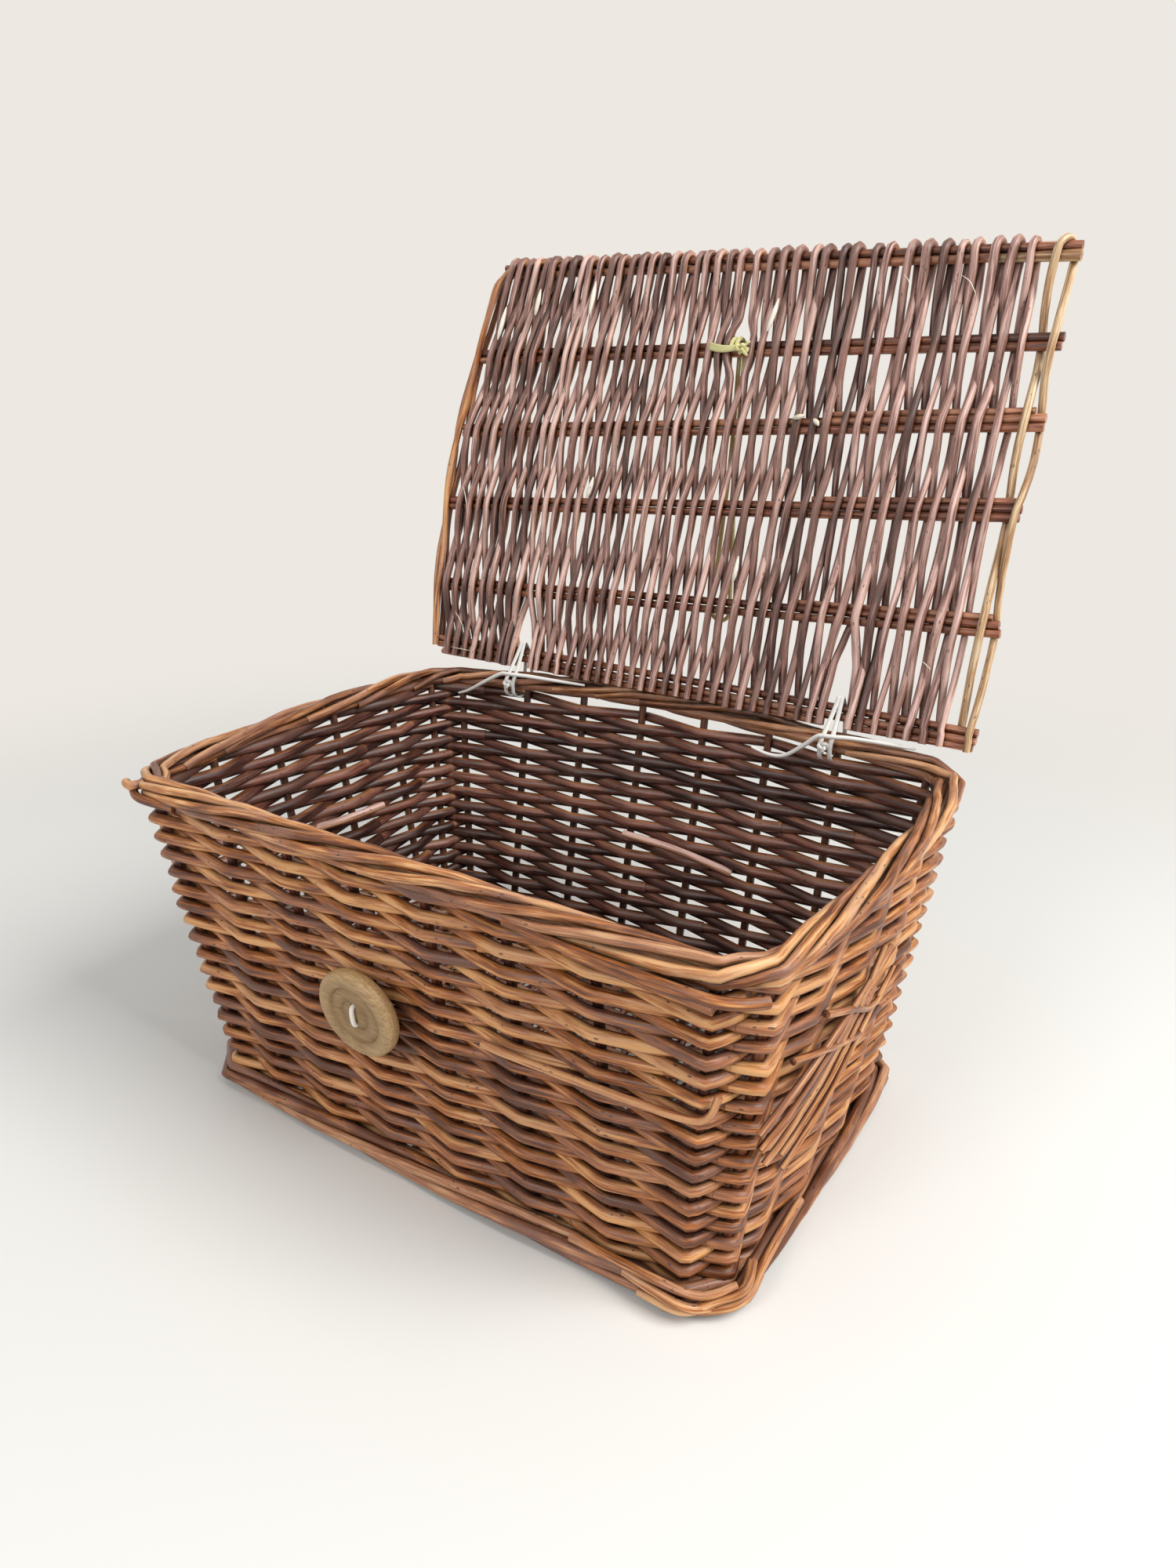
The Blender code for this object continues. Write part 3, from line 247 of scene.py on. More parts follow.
def rod_tree():
    tree = bpy.data.node_groups.new("swept_rods", "GeometryNodeTree")
    face = tree.interface
    face.new_socket("Guides", in_out="INPUT", socket_type="NodeSocketGeometry")
    face.new_socket("Sides", in_out="INPUT", socket_type="NodeSocketInt")
    face.new_socket("Step", in_out="INPUT", socket_type="NodeSocketFloat")
    face.new_socket("Wander", in_out="INPUT", socket_type="NodeSocketFloat")
    face.new_socket("Seed", in_out="INPUT", socket_type="NodeSocketFloat")
    face.new_socket("Bark", in_out="INPUT", socket_type="NodeSocketMaterial")
    face.new_socket("Rods", in_out="OUTPUT", socket_type="NodeSocketGeometry")
    given = add(tree, "NodeGroupInput").outputs

    def field(name, kind="FLOAT"):
        named = add(tree, "GeometryNodeInputNamedAttribute", {"Name": name}, data_type=kind)
        return named.outputs["Attribute"]

    lines = add(tree, "GeometryNodeMeshToCurve", {"Mesh": given["Guides"]})
    smooth = add(tree, "GeometryNodeCurveSplineType", {"Curve": lines.outputs[0]}, spline_type="CATMULL_ROM")
    fine = add(tree, "GeometryNodeResampleCurve", {"Curve": smooth.outputs[0], "Length": given["Step"]},
               mode="LENGTH")
    place = add(tree, "ShaderNodeCombineXYZ", {"X": maths(tree, "MULTIPLY", field("rod_tint"), 513.0),
                                               "Y": maths(tree, "MULTIPLY", field("rod_along"), 38.0),
                                               "Z": given["Seed"]})
    noise = add(tree, "ShaderNodeTexNoise", {"Vector": place.outputs[0], "Scale": 1.0, "Detail": 2.0})
    centred = add(tree, "ShaderNodeVectorMath", {0: noise.outputs["Color"], 1: (0.5, 0.5, 0.5)},
                  operation="SUBTRACT")
    offset = add(tree, "ShaderNodeVectorMath", {0: centred.outputs[0], "Scale": given["Wander"]},
                 operation="SCALE")
    moved = add(tree, "GeometryNodeSetPosition", {"Geometry": fine.outputs[0], "Offset": offset.outputs[0]})
    swell = maths(tree, "ADD", maths(tree, "MULTIPLY", noise.outputs["Fac"], 0.20), 0.90)
    width = maths(tree, "MULTIPLY", field("rod_radius"), swell)
    sized = add(tree, "GeometryNodeSetCurveRadius", {"Curve": moved.outputs[0], "Radius": width})
    circle = add(tree, "GeometryNodeCurvePrimitiveCircle", {"Resolution": given["Sides"], "Radius": 1.0})
    spot = add(tree, "GeometryNodeInputPosition")
    profile = add(tree, "GeometryNodeStoreNamedAttribute",
                  {"Geometry": circle.outputs[0], "Name": "rod_skin", "Value": spot.outputs[0]},
                  data_type="FLOAT_VECTOR")
    swept = add(tree, "GeometryNodeCurveToMesh",
                {"Curve": sized.outputs[0], "Profile Curve": profile.outputs[0], "Fill Caps": True})
    if "Scale" in swept.inputs:
        tree.links.new(add(tree, "GeometryNodeInputRadius").outputs[0], swept.inputs["Scale"])
    normal = add(tree, "GeometryNodeInputNormal")
    facing = add(tree, "ShaderNodeVectorMath", {0: normal.outputs[0], 1: field("rod_out", "FLOAT_VECTOR")},
                 operation="DOT_PRODUCT")
    # How much each surface faces out; the bark paints the inward side with the inner colours, on the walls
    # partly as painted shade.
    outward = ranged(tree, facing.outputs["Value"], -0.55, 0.25)
    stored = add(tree, "GeometryNodeStoreNamedAttribute",
                 {"Geometry": swept.outputs[0], "Name": "rod_outer", "Value": outward}, data_type="FLOAT")
    shaded = add(tree, "GeometryNodeSetShadeSmooth", {"Geometry": stored.outputs[0]})
    barked = add(tree, "GeometryNodeSetMaterial", {"Geometry": shaded.outputs[0], "Material": given["Bark"]})
    real = add(tree, "GeometryNodeRealizeInstances", {"Geometry": barked.outputs[0]})
    add(tree, "NodeGroupOutput", {"Rods": real.outputs[0]})
    return tree


RODS = rod_tree()


def socket_of(tree, name):
    return next(item.identifier for item in tree.interface.items_tree if item.name == name)


def rod(points, radii, tint, out, start=0.0):
    """One guide. Radii is (first, last) or a list; out is the way its outer side faces, one or a list; the
    other side gets the inner colours, on the walls partly painted shade.
    """
    return {"points": points, "radii": radii, "tint": tint, "out": out, "start": start}


def guide_mesh(name, rods):
    """The guides of many rods as one mesh of edges, with what the tree reads at each point."""
    mesh = bpy.data.meshes.new(name)
    points, edges = [], []
    radii, tints, alongs, outs = [], [], [], []
    for guide in rods:
        first = len(points)
        line = [Vector(point) for point in guide["points"]]
        length, radius, out = guide["start"], guide["radii"], guide["out"]
        for index, point in enumerate(line):
            if index:
                length += (point - line[index - 1]).length
                edges.append((first + index - 1, first + index))
            share = index / (len(line) - 1)
            between = isinstance(radius, tuple)
            radii.append(radius[0] + (radius[1] - radius[0]) * share if between else radius[index])
            tints.append(guide["tint"])
            alongs.append(length)
            outs.extend(out[index] if isinstance(out, list) else out)
            points.append(point)
    mesh.from_pydata(points, edges, [])
    for key, values in (("rod_radius", radii), ("rod_tint", tints), ("rod_along", alongs)):
        mesh.attributes.new(key, "FLOAT", "POINT").data.foreach_set("value", values)
    mesh.attributes.new("rod_out", "FLOAT_VECTOR", "POINT").data.foreach_set("vector", outs)
    return mesh


def woven(name, rods, material, body, replaced, sides=10, step=0.0035, wander=0.0, seed=1.0):
    """Sweeps the rods into one plain mesh, and puts it on its body in place of its CAD nodes."""
    item = put(name, guide_mesh(name, rods))
    modifier = item.modifiers.new("rods", "NODES")
    modifier.node_group = RODS
    given = {"Sides": sides, "Step": step, "Wander": wander, "Seed": seed, "Bark": material}
    for key, value in given.items():
        modifier[socket_of(RODS, key)] = value
    graph = bpy.context.evaluated_depsgraph_get()
    finished = bpy.data.meshes.new_from_object(item.evaluated_get(graph))
    item.modifiers.clear()
    item.data = finished
    item.data.name = name
    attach(item, body)
    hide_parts(*replaced)
    print(name, len(rods), "rods", len(finished.polygons), "faces")
    return item


# %% [markdown]
# The walls stand on 28 upright stakes: six along each long side, four along each end and two at every
# corner. A place on the basket is easy to say as a number round the ring of stakes, a height, and a
# distance outwards from the stake line. The ring is smaller at the base than at the rim, so a place is
# blended between the two.
# %% The ring of stakes
WEAVE_TOP = 0.20103
WEAVE_BOTTOM = 0.0079
STAKE_RADIUS = 0.0025
CORNERS = (0.013, 0.015)
HALVES = (Vector((0.172, 0.113)), Vector((0.1955, 0.1365)))
BOWS = {"front": (0.003, 0.003), "back": (0.003, 0.010), "end": (0.004, 0.011)}
SIDES = {"front": (0, 8), "right": (8, 6), "back": (14, 8), "left": (22, 6)}
AROUND = 28
STAKE_SPACING = 0.045
BORDER_LIFT = 0.0074


def side_places(half, count, spacing, inset):
    return [-(half - inset), *[(index - (count - 1) / 2) * spacing for index in range(count)], half - inset]


def stake_ring(level):
    half = HALVES[level]
    long_side = side_places(half.x, 6, 0.048528, CORNERS[level])
    short_side = side_places(half.y, 4, 0.052998, CORNERS[level])
    front = [Vector((x, -half.y - BOWS["front"][level] * (1 - (x / half.x) ** 2))) for x in long_side]
    right = [Vector((half.x + BOWS["end"][level] * (1 - (y / half.y) ** 2), y)) for y in short_side]
    back = [Vector((-x, half.y + BOWS["back"][level] * (1 - (x / half.x) ** 2))) for x in long_side]
    return [*front, *right, *back, *[Vector((-point.x, -point.y)) for point in right]]


def mitred(ring):
    """Outward directions at each stake, as long as the bend there needs."""
    made = []
    for index, point in enumerate(ring):
        before = (point - ring[index - 1]).normalized()
        after = (ring[(index + 1) % len(ring)] - point).normalized()
        joined = (Vector((before.y, -before.x)) + Vector((after.y, -after.x))).normalized()
        made.append(joined / joined.dot(Vector((before.y, -before.x))))
    return made


RINGS = [stake_ring(0), stake_ring(1)]
OUTWARDS = [mitred(ring) for ring in RINGS]


def at_stake(index, height, offset):
    low = RINGS[0][index % AROUND] + OUTWARDS[0][index % AROUND] * offset
    high = RINGS[1][index % AROUND] + OUTWARDS[1][index % AROUND] * offset
    return low.lerp(high, height / WEAVE_TOP)


def at_ring(place, height, offset):
    """The point at a place round the ring: place 2.5 is halfway from stake 2 to stake 3."""
    index = math.floor(place)
    flat = at_stake(index, height, offset).lerp(at_stake(index + 1, height, offset), place - index)
    return Vector((flat.x, flat.y, height))


def lift_at(place):
    """The back of the rim stands a little higher than the weave below it."""
    return BORDER_LIFT * math.sin(math.pi * (place % AROUND - 14) / 7) if 14 < place % AROUND < 21 else 0.0


def outward_at(place):
    index = math.floor(place)
    before, after = RINGS[1][index % AROUND], RINGS[1][(index + 1) % AROUND]
    along = (after - before).normalized()
    return (along.y, -along.x, 0.0)


print("ring of", len(RINGS[0]), "stakes; front middle at", [round(v, 4) for v in at_ring(3.5, 0.1, 0)])

# %% [markdown]
# Stakes are stout rods that stand upright; the weave hides most of each one, and dark red-brown glimpses of
# them show in the gaps. They are swept by the same tree, one object for each wall.
# %% Stakes
luck = random.Random(11)
for side, (start, count) in SIDES.items():
    rods, nodes = [], []
    for order in range(count):
        top = WEAVE_TOP + 0.001 + lift_at(start + order)
        line = [at_ring(start + order, height, luck.uniform(-0.0003, 0.0003))
                for height in np.linspace(0.0076, top, 9)]
        rods.append(rod(line, (0.0029, 0.0026), luck.random(), outward_at(start + order)))
        ends = {0: "corner_stake_%s_start" % side, count - 1: "corner_stake_%s_end" % side}
        nodes.append(ends.get(order, "stake_%s_%d" % (side, order)))
    woven("stakes_" + side, rods, STAKE_WILLOW, "basket", nodes, sides=12, step=0.006)

# %% [markdown]
# The wall is plain randing: each row passes outside one stake and inside the next, and the row above does
# the opposite. The rods are thicker than the gap between rows, so they press into a zigzag that is nearly
# straight between stakes and kinks at each one. Every row is two rods, thick at the cut end and thin at the
# tip, and their ends rest inside the basket. Heights and depths are jittered from a fixed seed, smoothly
# enough that neighbouring rows keep clear of each other.
# %% Wall rods
ROWS = 34
ROW_PITCH = (WEAVE_TOP - WEAVE_BOTTOM) / ROWS
FINENESS = 8
FAR_WALLS, FAR_SWELL = ("back", "left"), 1.09
luck = random.Random(5)
slow = [[luck.uniform(-1, 1) for _ in range(AROUND)] for _ in range(8)]
quick = [[luck.uniform(-1, 1) for _ in range(AROUND)] for _ in range(ROWS)]
reach = [[luck.uniform(-0.0003, 0.0006) for _ in range(AROUND)] for _ in range(ROWS)]


def row_height(row, stake):
    level = row / ROWS * 7
    low, high = slow[int(level)][stake % AROUND], slow[int(level) + 1][stake % AROUND]
    drift = low + (high - low) * (level - int(level))
    edge = min(1, row / 3, (ROWS - 1 - row) / 3)
    jitter = 0.0012 * drift + 0.0006 * quick[row][stake % AROUND]
    return WEAVE_BOTTOM + (row + 0.5) * ROW_PITCH + edge * jitter


def row_point(row, step, thickness):
    """A point of one row, FINENESS steps from each stake to the next, and its inward or outward offset."""
    stake, part = divmod(step, FINENESS)
    share = part / FINENESS
    sign = 1 if (row + stake) % 2 == 1 else -1
    near = sign * (STAKE_RADIUS + 0.75 * thickness + reach[row][stake % AROUND])
    far = -sign * (STAKE_RADIUS + 0.75 * thickness + reach[row][(stake + 1) % AROUND])
    swing = 0.72 * share + 0.28 * (0.5 - 0.5 * math.cos(math.pi * share))
    height = row_height(row, stake) * (1 - share) + row_height(row, stake + 1) * share
    return at_ring(step / FINENESS, height, near + (far - near) * swing)


def row_rods(row, luck):
    """Two rods that make up one row, as (first step, last step, radii, tint)."""
    inside = [stake for stake in range(AROUND) if (row + stake) % 2 == 0]
    first = inside[luck.randrange(len(inside))]
    second = first + 14 + 2 * luck.randrange(-2, 3)
    made = []
    for begin, end in ((first, second), (second, first + AROUND)):
        butt, tip = luck.uniform(0.0033, 0.0037), luck.uniform(0.0028, 0.0031)
        made.append((begin * FINENESS - 3, end * FINENESS + 3, butt, tip, luck.random()))
    return made


luck = random.Random(8)
walls = {side: [] for side in SIDES}
for row in range(ROWS):
    for first, last, butt, tip, tint in row_rods(row, luck):
        for side, (start, count) in SIDES.items():
            for turn in (-1, 0, 1):
                low = max(first, round((start - 0.5 + turn * AROUND) * FINENESS))
                high = min(last, round((start + count - 0.5 + turn * AROUND) * FINENESS))
                if high - low < 2:
                    continue
                line, radii, outs = [], [], []
                swell = FAR_SWELL if side in FAR_WALLS else 1.0
                for step in range(low, high + 1):
                    share = (step - first) / (last - first)
                    radii.append((butt + (tip - butt) * share) * swell)
                    line.append(row_point(row, step, radii[-1]))
                    outs.append(outward_at(step / FINENESS))
                walls[side].append(rod(line, radii, tint, outs, (low - first) / FINENESS * STAKE_SPACING))
for side, rods in walls.items():
    woven("wall_rods_" + side, rods, WALL_WILLOW, "basket", ["wall_weave_" + side])

# %% [markdown]
# The rim is a rolled border: the top of every stake is bent down to the right, lies over the next three or
# four stakes as one strand of a thick bundle, and tucks away inside. A strand starts low on the outside,
# climbs over the top of the bundle and ends on the inner side, which gives the border its slow twist.
# %% Rim border
STRAND = ((0.00, -0.0010, 0.2012), (0.13, 0.0040, 0.2006), (0.32, 0.0066, 0.2040), (0.46, 0.0052, 0.2080),
          (0.60, 0.0014, 0.2104), (0.74, -0.0030, 0.2100), (0.88, -0.0056, 0.2068), (1.00, -0.0036, 0.2030))


def strand_spot(share):
    """Offset and height of a strand: hidden, up the outside, over the top, down and hidden again."""
    for before, after in zip(STRAND, STRAND[1:]):
        if share <= after[0]:
            part = (share - before[0]) / (after[0] - before[0])
            return tuple(a + (b - a) * part for a, b in zip(before[1:], after[1:]))
    return STRAND[-1][1:]


luck = random.Random(21)
border = {side: [] for side in SIDES}
for stake in range(AROUND):
    span = luck.uniform(4.5, 5.1)
    thick = luck.uniform(0.0026, 0.0031)
    phase = luck.uniform(0, 6.28)
    side = next(name for name, (start, count) in SIDES.items() if start <= stake < start + count)
    steps = int(span * FINENESS)
    line, outs = [], []
    for step in range(steps + 1):
        offset, height = strand_spot(step / steps)
        wave = math.sin(0.42 * step + phase)
        place = stake + step / FINENESS
        aside = 0.0005 * math.cos(0.37 * step + phase)
        line.append(at_ring(place, height + lift_at(place) + 0.0006 * wave, offset + aside))
        outs.append(outward_at(place))
    border[side].append(rod(line, (thick, thick * 0.84), (stake * 0.382 + luck.uniform(0, 0.2)) % 1, outs))
for side, (start, count) in SIDES.items():
    places = [start - 0.5 + step / 4 for step in range(count * 4 + 1)]
    for offset in (-0.0024, 0.0024):
        line = [at_ring(place, 0.2032 + lift_at(place), offset) for place in places]
        border[side].append(rod(line, (0.0029, 0.0029), luck.random(), outward_at(start + count / 2)))
for side, rods in border.items():
    woven("border_rods_" + side, rods, BORDER_WILLOW, "basket", ["rim_border_" + side],
          sides=12, wander=0.0014, seed=3.0)

# %% [markdown]
# The foot is a wale: four long rods twisted slowly round each other along the bottom edge. They carry the
# basket's weight, so the lowest ones are pressed flat to the floor; here their centres are simply never
# lower than their own radius.
# %% Foot wale
luck = random.Random(31)
foot = {side: [] for side in SIDES}
for strand in range(5):
    tint = luck.random()
    thick = (0.0033, 0.0030, 0.0034, 0.0031, 0.0035)[strand]
    for side, (start, count) in SIDES.items():
        line, outs = [], []
        for step in range(round((start - 0.5) * FINENESS), round((start + count - 0.5) * FINENESS) + 1):
            place = step / FINENESS
            turn = 2 * math.pi * (place / AROUND * 3 + strand / 4)
            offset = 0.0084 + 0.0046 * math.cos(turn)
            height = 0.0078 + 0.0046 * math.sin(turn)
            if strand == 4:
                offset, height = -0.0020, 0.0036
            line.append(at_ring(place, max(height, thick), offset))
            outs.append(outward_at(place))
        foot[side].append(rod(line, (thick, thick), tint, outs, start * STAKE_SPACING))
for side, rods in foot.items():
    woven("foot_rods_" + side, rods, BORDER_WILLOW, "basket", ["foot_wale_" + side],
          sides=12, wander=0.0008, seed=5.0)

# %% [markdown]
# Handmade work has strays: rods that run outside several stakes, cut ends that stick out under the border,
# thin rods pulled diagonally across the right wall where it was mended, and pale rods wrapped round the
# near corner of the foot. Each is one guide, written as places round the ring, heights and depths.
# %% Stray rods
STRAYS = {
    "front": (
        (0.0022, 0.0018, 0.95, (4.7, 0.1245, 0.0098), (5.6, 0.1255, 0.0106), (6.4, 0.1270, 0.0106),
         (7.0, 0.1300, 0.0100), (7.25, 0.1430, 0.0096)),
        (0.0027, 0.0029, 0.30, (5.8, 0.1975, 0.0080), (6.3, 0.1962, 0.0098), (7.02, 0.1930, 0.0104)),
        (0.0026, 0.0029, 0.45, (5.1, 0.2005, 0.0060), (6.0, 0.1992, 0.0100), (7.0, 0.1975, 0.0104),
         (7.75, 0.1950, 0.0108)),
        (0.0029, 0.0027, 0.85, (-0.2, 0.2062, 0.0070), (-0.1, 0.2070, 0.0120), (-0.3, 0.2072, 0.0150)),
        (0.0027, 0.0024, 0.20, (0.4, 0.1985, 0.0050), (0.05, 0.2010, 0.0100), (-0.2, 0.2030, 0.0120)),
    ),
    "right": (
        (0.0019, 0.0015, 0.80, (8.0, 0.116, 0.0090), (8.8, 0.132, 0.0112), (9.9, 0.150, 0.0106),
         (10.6, 0.158, 0.0092)),
        (0.0021, 0.0016, 0.60, (8.1, 0.104, 0.0090), (8.9, 0.118, 0.0114), (9.8, 0.140, 0.0110),
         (10.8, 0.150, 0.0092)),
        (0.0017, 0.0014, 0.95, (8.3, 0.090, 0.0090), (9.0, 0.108, 0.0116), (9.7, 0.134, 0.0112),
         (10.3, 0.166, 0.0094)),
        (0.0018, 0.0016, 0.35, (8.5, 0.148, 0.0092), (9.2, 0.138, 0.0116), (10.1, 0.118, 0.0108),
         (10.9, 0.110, 0.0090)),
        (0.0016, 0.0013, 0.70, (8.8, 0.084, 0.0092), (9.4, 0.104, 0.0118), (9.9, 0.126, 0.0112),
         (10.4, 0.138, 0.0092)),
        (0.0020, 0.0015, 0.50, (9.1, 0.160, 0.0090), (9.7, 0.146, 0.0114), (10.4, 0.128, 0.0112),
         (11.4, 0.122, 0.0092)),
        (0.0017, 0.0012, 0.90, (9.0, 0.070, 0.0090), (9.6, 0.092, 0.0114), (10.2, 0.118, 0.0112),
         (11.0, 0.134, 0.0092)),
    ),
}
FOOT_WRAPS = (
    (0.0027, 0.0024, 0.92, (6.5, 0.0060, 0.0145), (7.05, 0.0085, 0.0168), (7.5, 0.0120, 0.0170),
     (8.0, 0.0165, 0.0160), (8.5, 0.0205, 0.0118)),
    (0.0026, 0.0024, 0.70, (6.3, 0.0150, 0.0138), (7.0, 0.0128, 0.0166), (7.5, 0.0085, 0.0174),
     (8.1, 0.0060, 0.0160), (8.8, 0.0052, 0.0140)),
    (0.0025, 0.0022, 0.85, (6.8, 0.0045, 0.0152), (7.4, 0.0068, 0.0176), (8.0, 0.0105, 0.0172),
     (9.0, 0.0150, 0.0140), (9.8, 0.0165, 0.0110)),
    (0.0027, 0.0020, 0.55, (5.6, 0.0175, 0.0110), (6.6, 0.0195, 0.0140), (7.3, 0.0170, 0.0162),
     (7.9, 0.0195, 0.0150)),
)
BROKEN = (((-0.1925, -0.014, 0.1300), (-0.1800, 0.006, 0.1335), (-0.1700, 0.034, 0.1370)),
          ((0.0600, 0.1270, 0.108), (0.0200, 0.1200, 0.118), (-0.0200, 0.1165, 0.1215)))


def placed_rods(table):
    return [rod([at_ring(*spot) for spot in spots], (butt, tip), tint, [outward_at(spot[0]) for spot in spots])
            for butt, tip, tint, *spots in table]


for side, table in STRAYS.items():
    woven("stray_rods_" + side, placed_rods(table), WALL_WILLOW, "basket",
          ["wall_weave_" + side], sides=12, step=0.003, wander=0.0012, seed=4.0)
woven("foot_wraps", placed_rods(FOOT_WRAPS), BORDER_WILLOW, "basket",
      ["foot_wale_front", "foot_wale_right"], sides=12, step=0.003, wander=0.0008, seed=6.0)
woven("broken_rods_inside", [rod(line, (0.0028, 0.0026), 0.95, (0, 0, -1.0))
                             for line in BROKEN], LID_WILLOW, "basket",
      ["wall_weave_left", "wall_weave_back"], sides=12, step=0.004)

# %% [markdown]
# The base is five stout sticks along the basket's length with thinner rods woven across them, over one and
# under the next. It shows from below, and as the floor inside.
# %% Base
luck = random.Random(41)
rods = []
for index in range(5):
    y = (index - 2) * 0.040
    line = [(x, y, 0.0073) for x in np.linspace(-0.166, 0.166, 12)]
    rods.append(rod(line, (0.0030, 0.0029), luck.random(), (0, 0, -1.0)))
for row in range(1, 64):
    x = (2 * row / 64 - 1) * 0.165
    half = 0.1135 - max(0, abs(x) - 0.155)
    line = []
    for step in range(29):
        y = -half + 2 * half * step / 28
        wave = math.cos(math.pi * y / 0.040) * (-1 if row % 2 else 1)
        line.append((x + luck.uniform(-0.0002, 0.0002), y, 0.0073 + wave * 0.0049))
    rods.append(rod(line, (0.0022, 0.0020), luck.random(), (0, 0, -1.0)))
woven("base_rods", rods, WALL_WILLOW, "basket", ["base_weave"], sides=8, step=0.005)

# %% [markdown]
# The lid leans back on its two ties. It is easiest to think of it flat: x along the hinge, rise up the lid,
# and depth out of its inner face. One function turns such a place into the row frame.
# %% The lid's own frame
LEAN = math.radians(16.3)
AXIS = Vector((0, 0.147, 0.228))
PAIRS = ((0, 0), (0.0435, 0.0635), (0.1050, 0.1300), (0.1595, 0.1810), (0.2140, 0.2255), (0.2750, 0.2745))
PAIR_NAMES = ("back", "fifth", "fourth", "third", "second", "front")
LEFT_BACK, LEFT_BELLY, LEFT_FRONT, RIGHT_END = 0.2085, 0.2300, 0.1940, 0.2045
LID_LENGTH = 0.2750
LID_OUT = (0.0, math.cos(LEAN), -math.sin(LEAN))
STICK_RADIUS = 0.0026


def on_lid(x, rise, depth=0.0):
    """Depth is positive out of the lid's inner face, which looks forward."""
    return Vector((x, AXIS.y + rise * math.sin(LEAN) - depth * math.cos(LEAN),
                   AXIS.z + rise * math.cos(LEAN) + depth * math.sin(LEAN)))


def left_edge(share):
    return -((1 - share) ** 2 * LEFT_BACK + 2 * share * (1 - share) * LEFT_BELLY + share ** 2 * LEFT_FRONT)


def pair_rise(pair, x):
    left, right = PAIRS[pair]
    start = left_edge(left / LID_LENGTH)
    return left + (right - left) * (x - start) / (RIGHT_END - start)


def follow_edge(x_at_back, rise):
    """Rods near the left end follow its curve."""
    share = max(0.0, min(1.0, rise / LID_LENGTH))
    return x_at_back + (left_edge(share) + LEFT_BACK) * max(0.0, -x_at_back / LEFT_BACK)


print("lid front edge at", [round(v, 4) for v in on_lid(0, LID_LENGTH)])

# %% [markdown]
# Six pairs of straight sticks run across the lid and stick out a little past the weave at both ends. Some
# pairs have a third, thinner stick: beside the back pair it comes in three lengths that stop at the ties,
# and beside three other pairs it runs along the right half. The front pair's lower stick ends early at the
# right, where a thick pale butt takes its place.
# %% Lid sticks
SIDE_BY_SIDE = 0.00245
THIRD_BELOW, THIRD_ABOVE = -0.0073, 0.0066
SHORT_END, BUTT_START, BUTT_BELOW = 0.1580, 0.1550, 0.0028
luck = random.Random(51)
for pair, name in enumerate(PAIR_NAMES):
    rods = []
    left = left_edge(PAIRS[pair][0] / LID_LENGTH)
    for order in (-1, 1):
        begin, end = left - 0.0005 + luck.uniform(-0.001, 0.001), RIGHT_END + luck.uniform(-0.003, 0.001)
        bow = luck.uniform(-0.0006, 0.0006)
        if pair == 5 and order == -1:
            end = SHORT_END
        line = []
        for x in np.linspace(begin, end, 16):
            share = (x - begin) / (end - begin)
            line.append(on_lid(x, pair_rise(pair, x) + order * SIDE_BY_SIDE + bow * math.sin(math.pi * share)))
        rods.append(rod(line, (0.0025, 0.0026), luck.random(), LID_OUT))
    if pair == 0:
        for begin, end in ((left + 0.004, -0.1375), (-0.1205, 0.1085), (0.1255, RIGHT_END - 0.002)):
            line = [on_lid(x, THIRD_BELOW + 0.0004 * math.sin(40 * x)) for x in np.linspace(begin, end, 8)]
            rods.append(rod(line, (0.0022, 0.0023), 0.7, LID_OUT))
    if pair in (1, 2, 3):
        line = [on_lid(x, pair_rise(pair, x) + THIRD_ABOVE) for x in np.linspace(0.075, RIGHT_END - 0.006, 8)]
        rods.append(rod(line, (0.0018, 0.0022), luck.random(), LID_OUT))
    if name == "front":
        line = [on_lid(x, pair_rise(pair, x) - BUTT_BELOW)
                for x in np.linspace(BUTT_START, RIGHT_END + 0.0010, 8)]
        woven("lid_stick_butt", [rod(line, (0.0024, 0.0033), 0.55, LID_OUT)],
              PALE_WILLOW, "lid", ["lid_sticks_front"], sides=14, step=0.003,
              wander=0.0006, seed=3.0)
    woven("lid_stick_rods_" + name, rods, STICK_WILLOW, "lid", ["lid_sticks_" + name],
          sides=12, step=0.006, wander=0.0006, seed=9.0)

# %% [markdown]
# Each lid weaver is a hairpin: it comes up the inner face, turns over the front pair and goes back down, so
# the front edge is a row of bumps. Its two legs pass over and under the six pairs in turn, the opposite way
# to each other. Legs lean and bunch unevenly, which opens the lens-shaped gaps; slits are kept free at the
# ties and at the closing cord.
# %% Lid weavers
TIES = (-0.129, 0.117)
CLOSURE_X = 0.005
# Each slit: its place, from and to which rise it is open, half its width, and how softly it closes.
SLITS = ((TIES[0], -0.02, 0.026, 0.0062, 0.03), (TIES[1], -0.02, 0.030, 0.0060, 0.03),
         (CLOSURE_X, 0.214, 0.228, 0.0052, 0.01))
HAIRPINS = 42
luck = random.Random(61)


def clear_of_slits(x, rise, base):
    """Pushes a rod sideways, out of the slits at the ties and at the closing cord."""
    for slit, low, high, half, fade in SLITS:
        strength = min(1.0, max(0.0, (rise - low + fade) / fade), max(0.0, (high + fade - rise) / fade))
        near, spread = x - slit, 3 * half
        if abs(base - slit) < spread + 0.004 and strength > 0:
            side = 1 if base >= slit else -1
            pushed = side * (half + max(0.0, side * near) * (spread - half) / spread)
            if side * near < spread:
                x = slit + near + (pushed - near) * strength
    return x


def leg_places(count, first, last):
    """Places along the hinge, closer together at the left end."""
    weights = [1.0 + 0.28 * index / count + luck.uniform(-0.12, 0.12) for index in range(count)]
    total, made, run = sum(weights), [], 0.0
    for weight in weights:
        made.append(first + (last - first) * (run + weight / 2) / total)
        run += weight
    return made


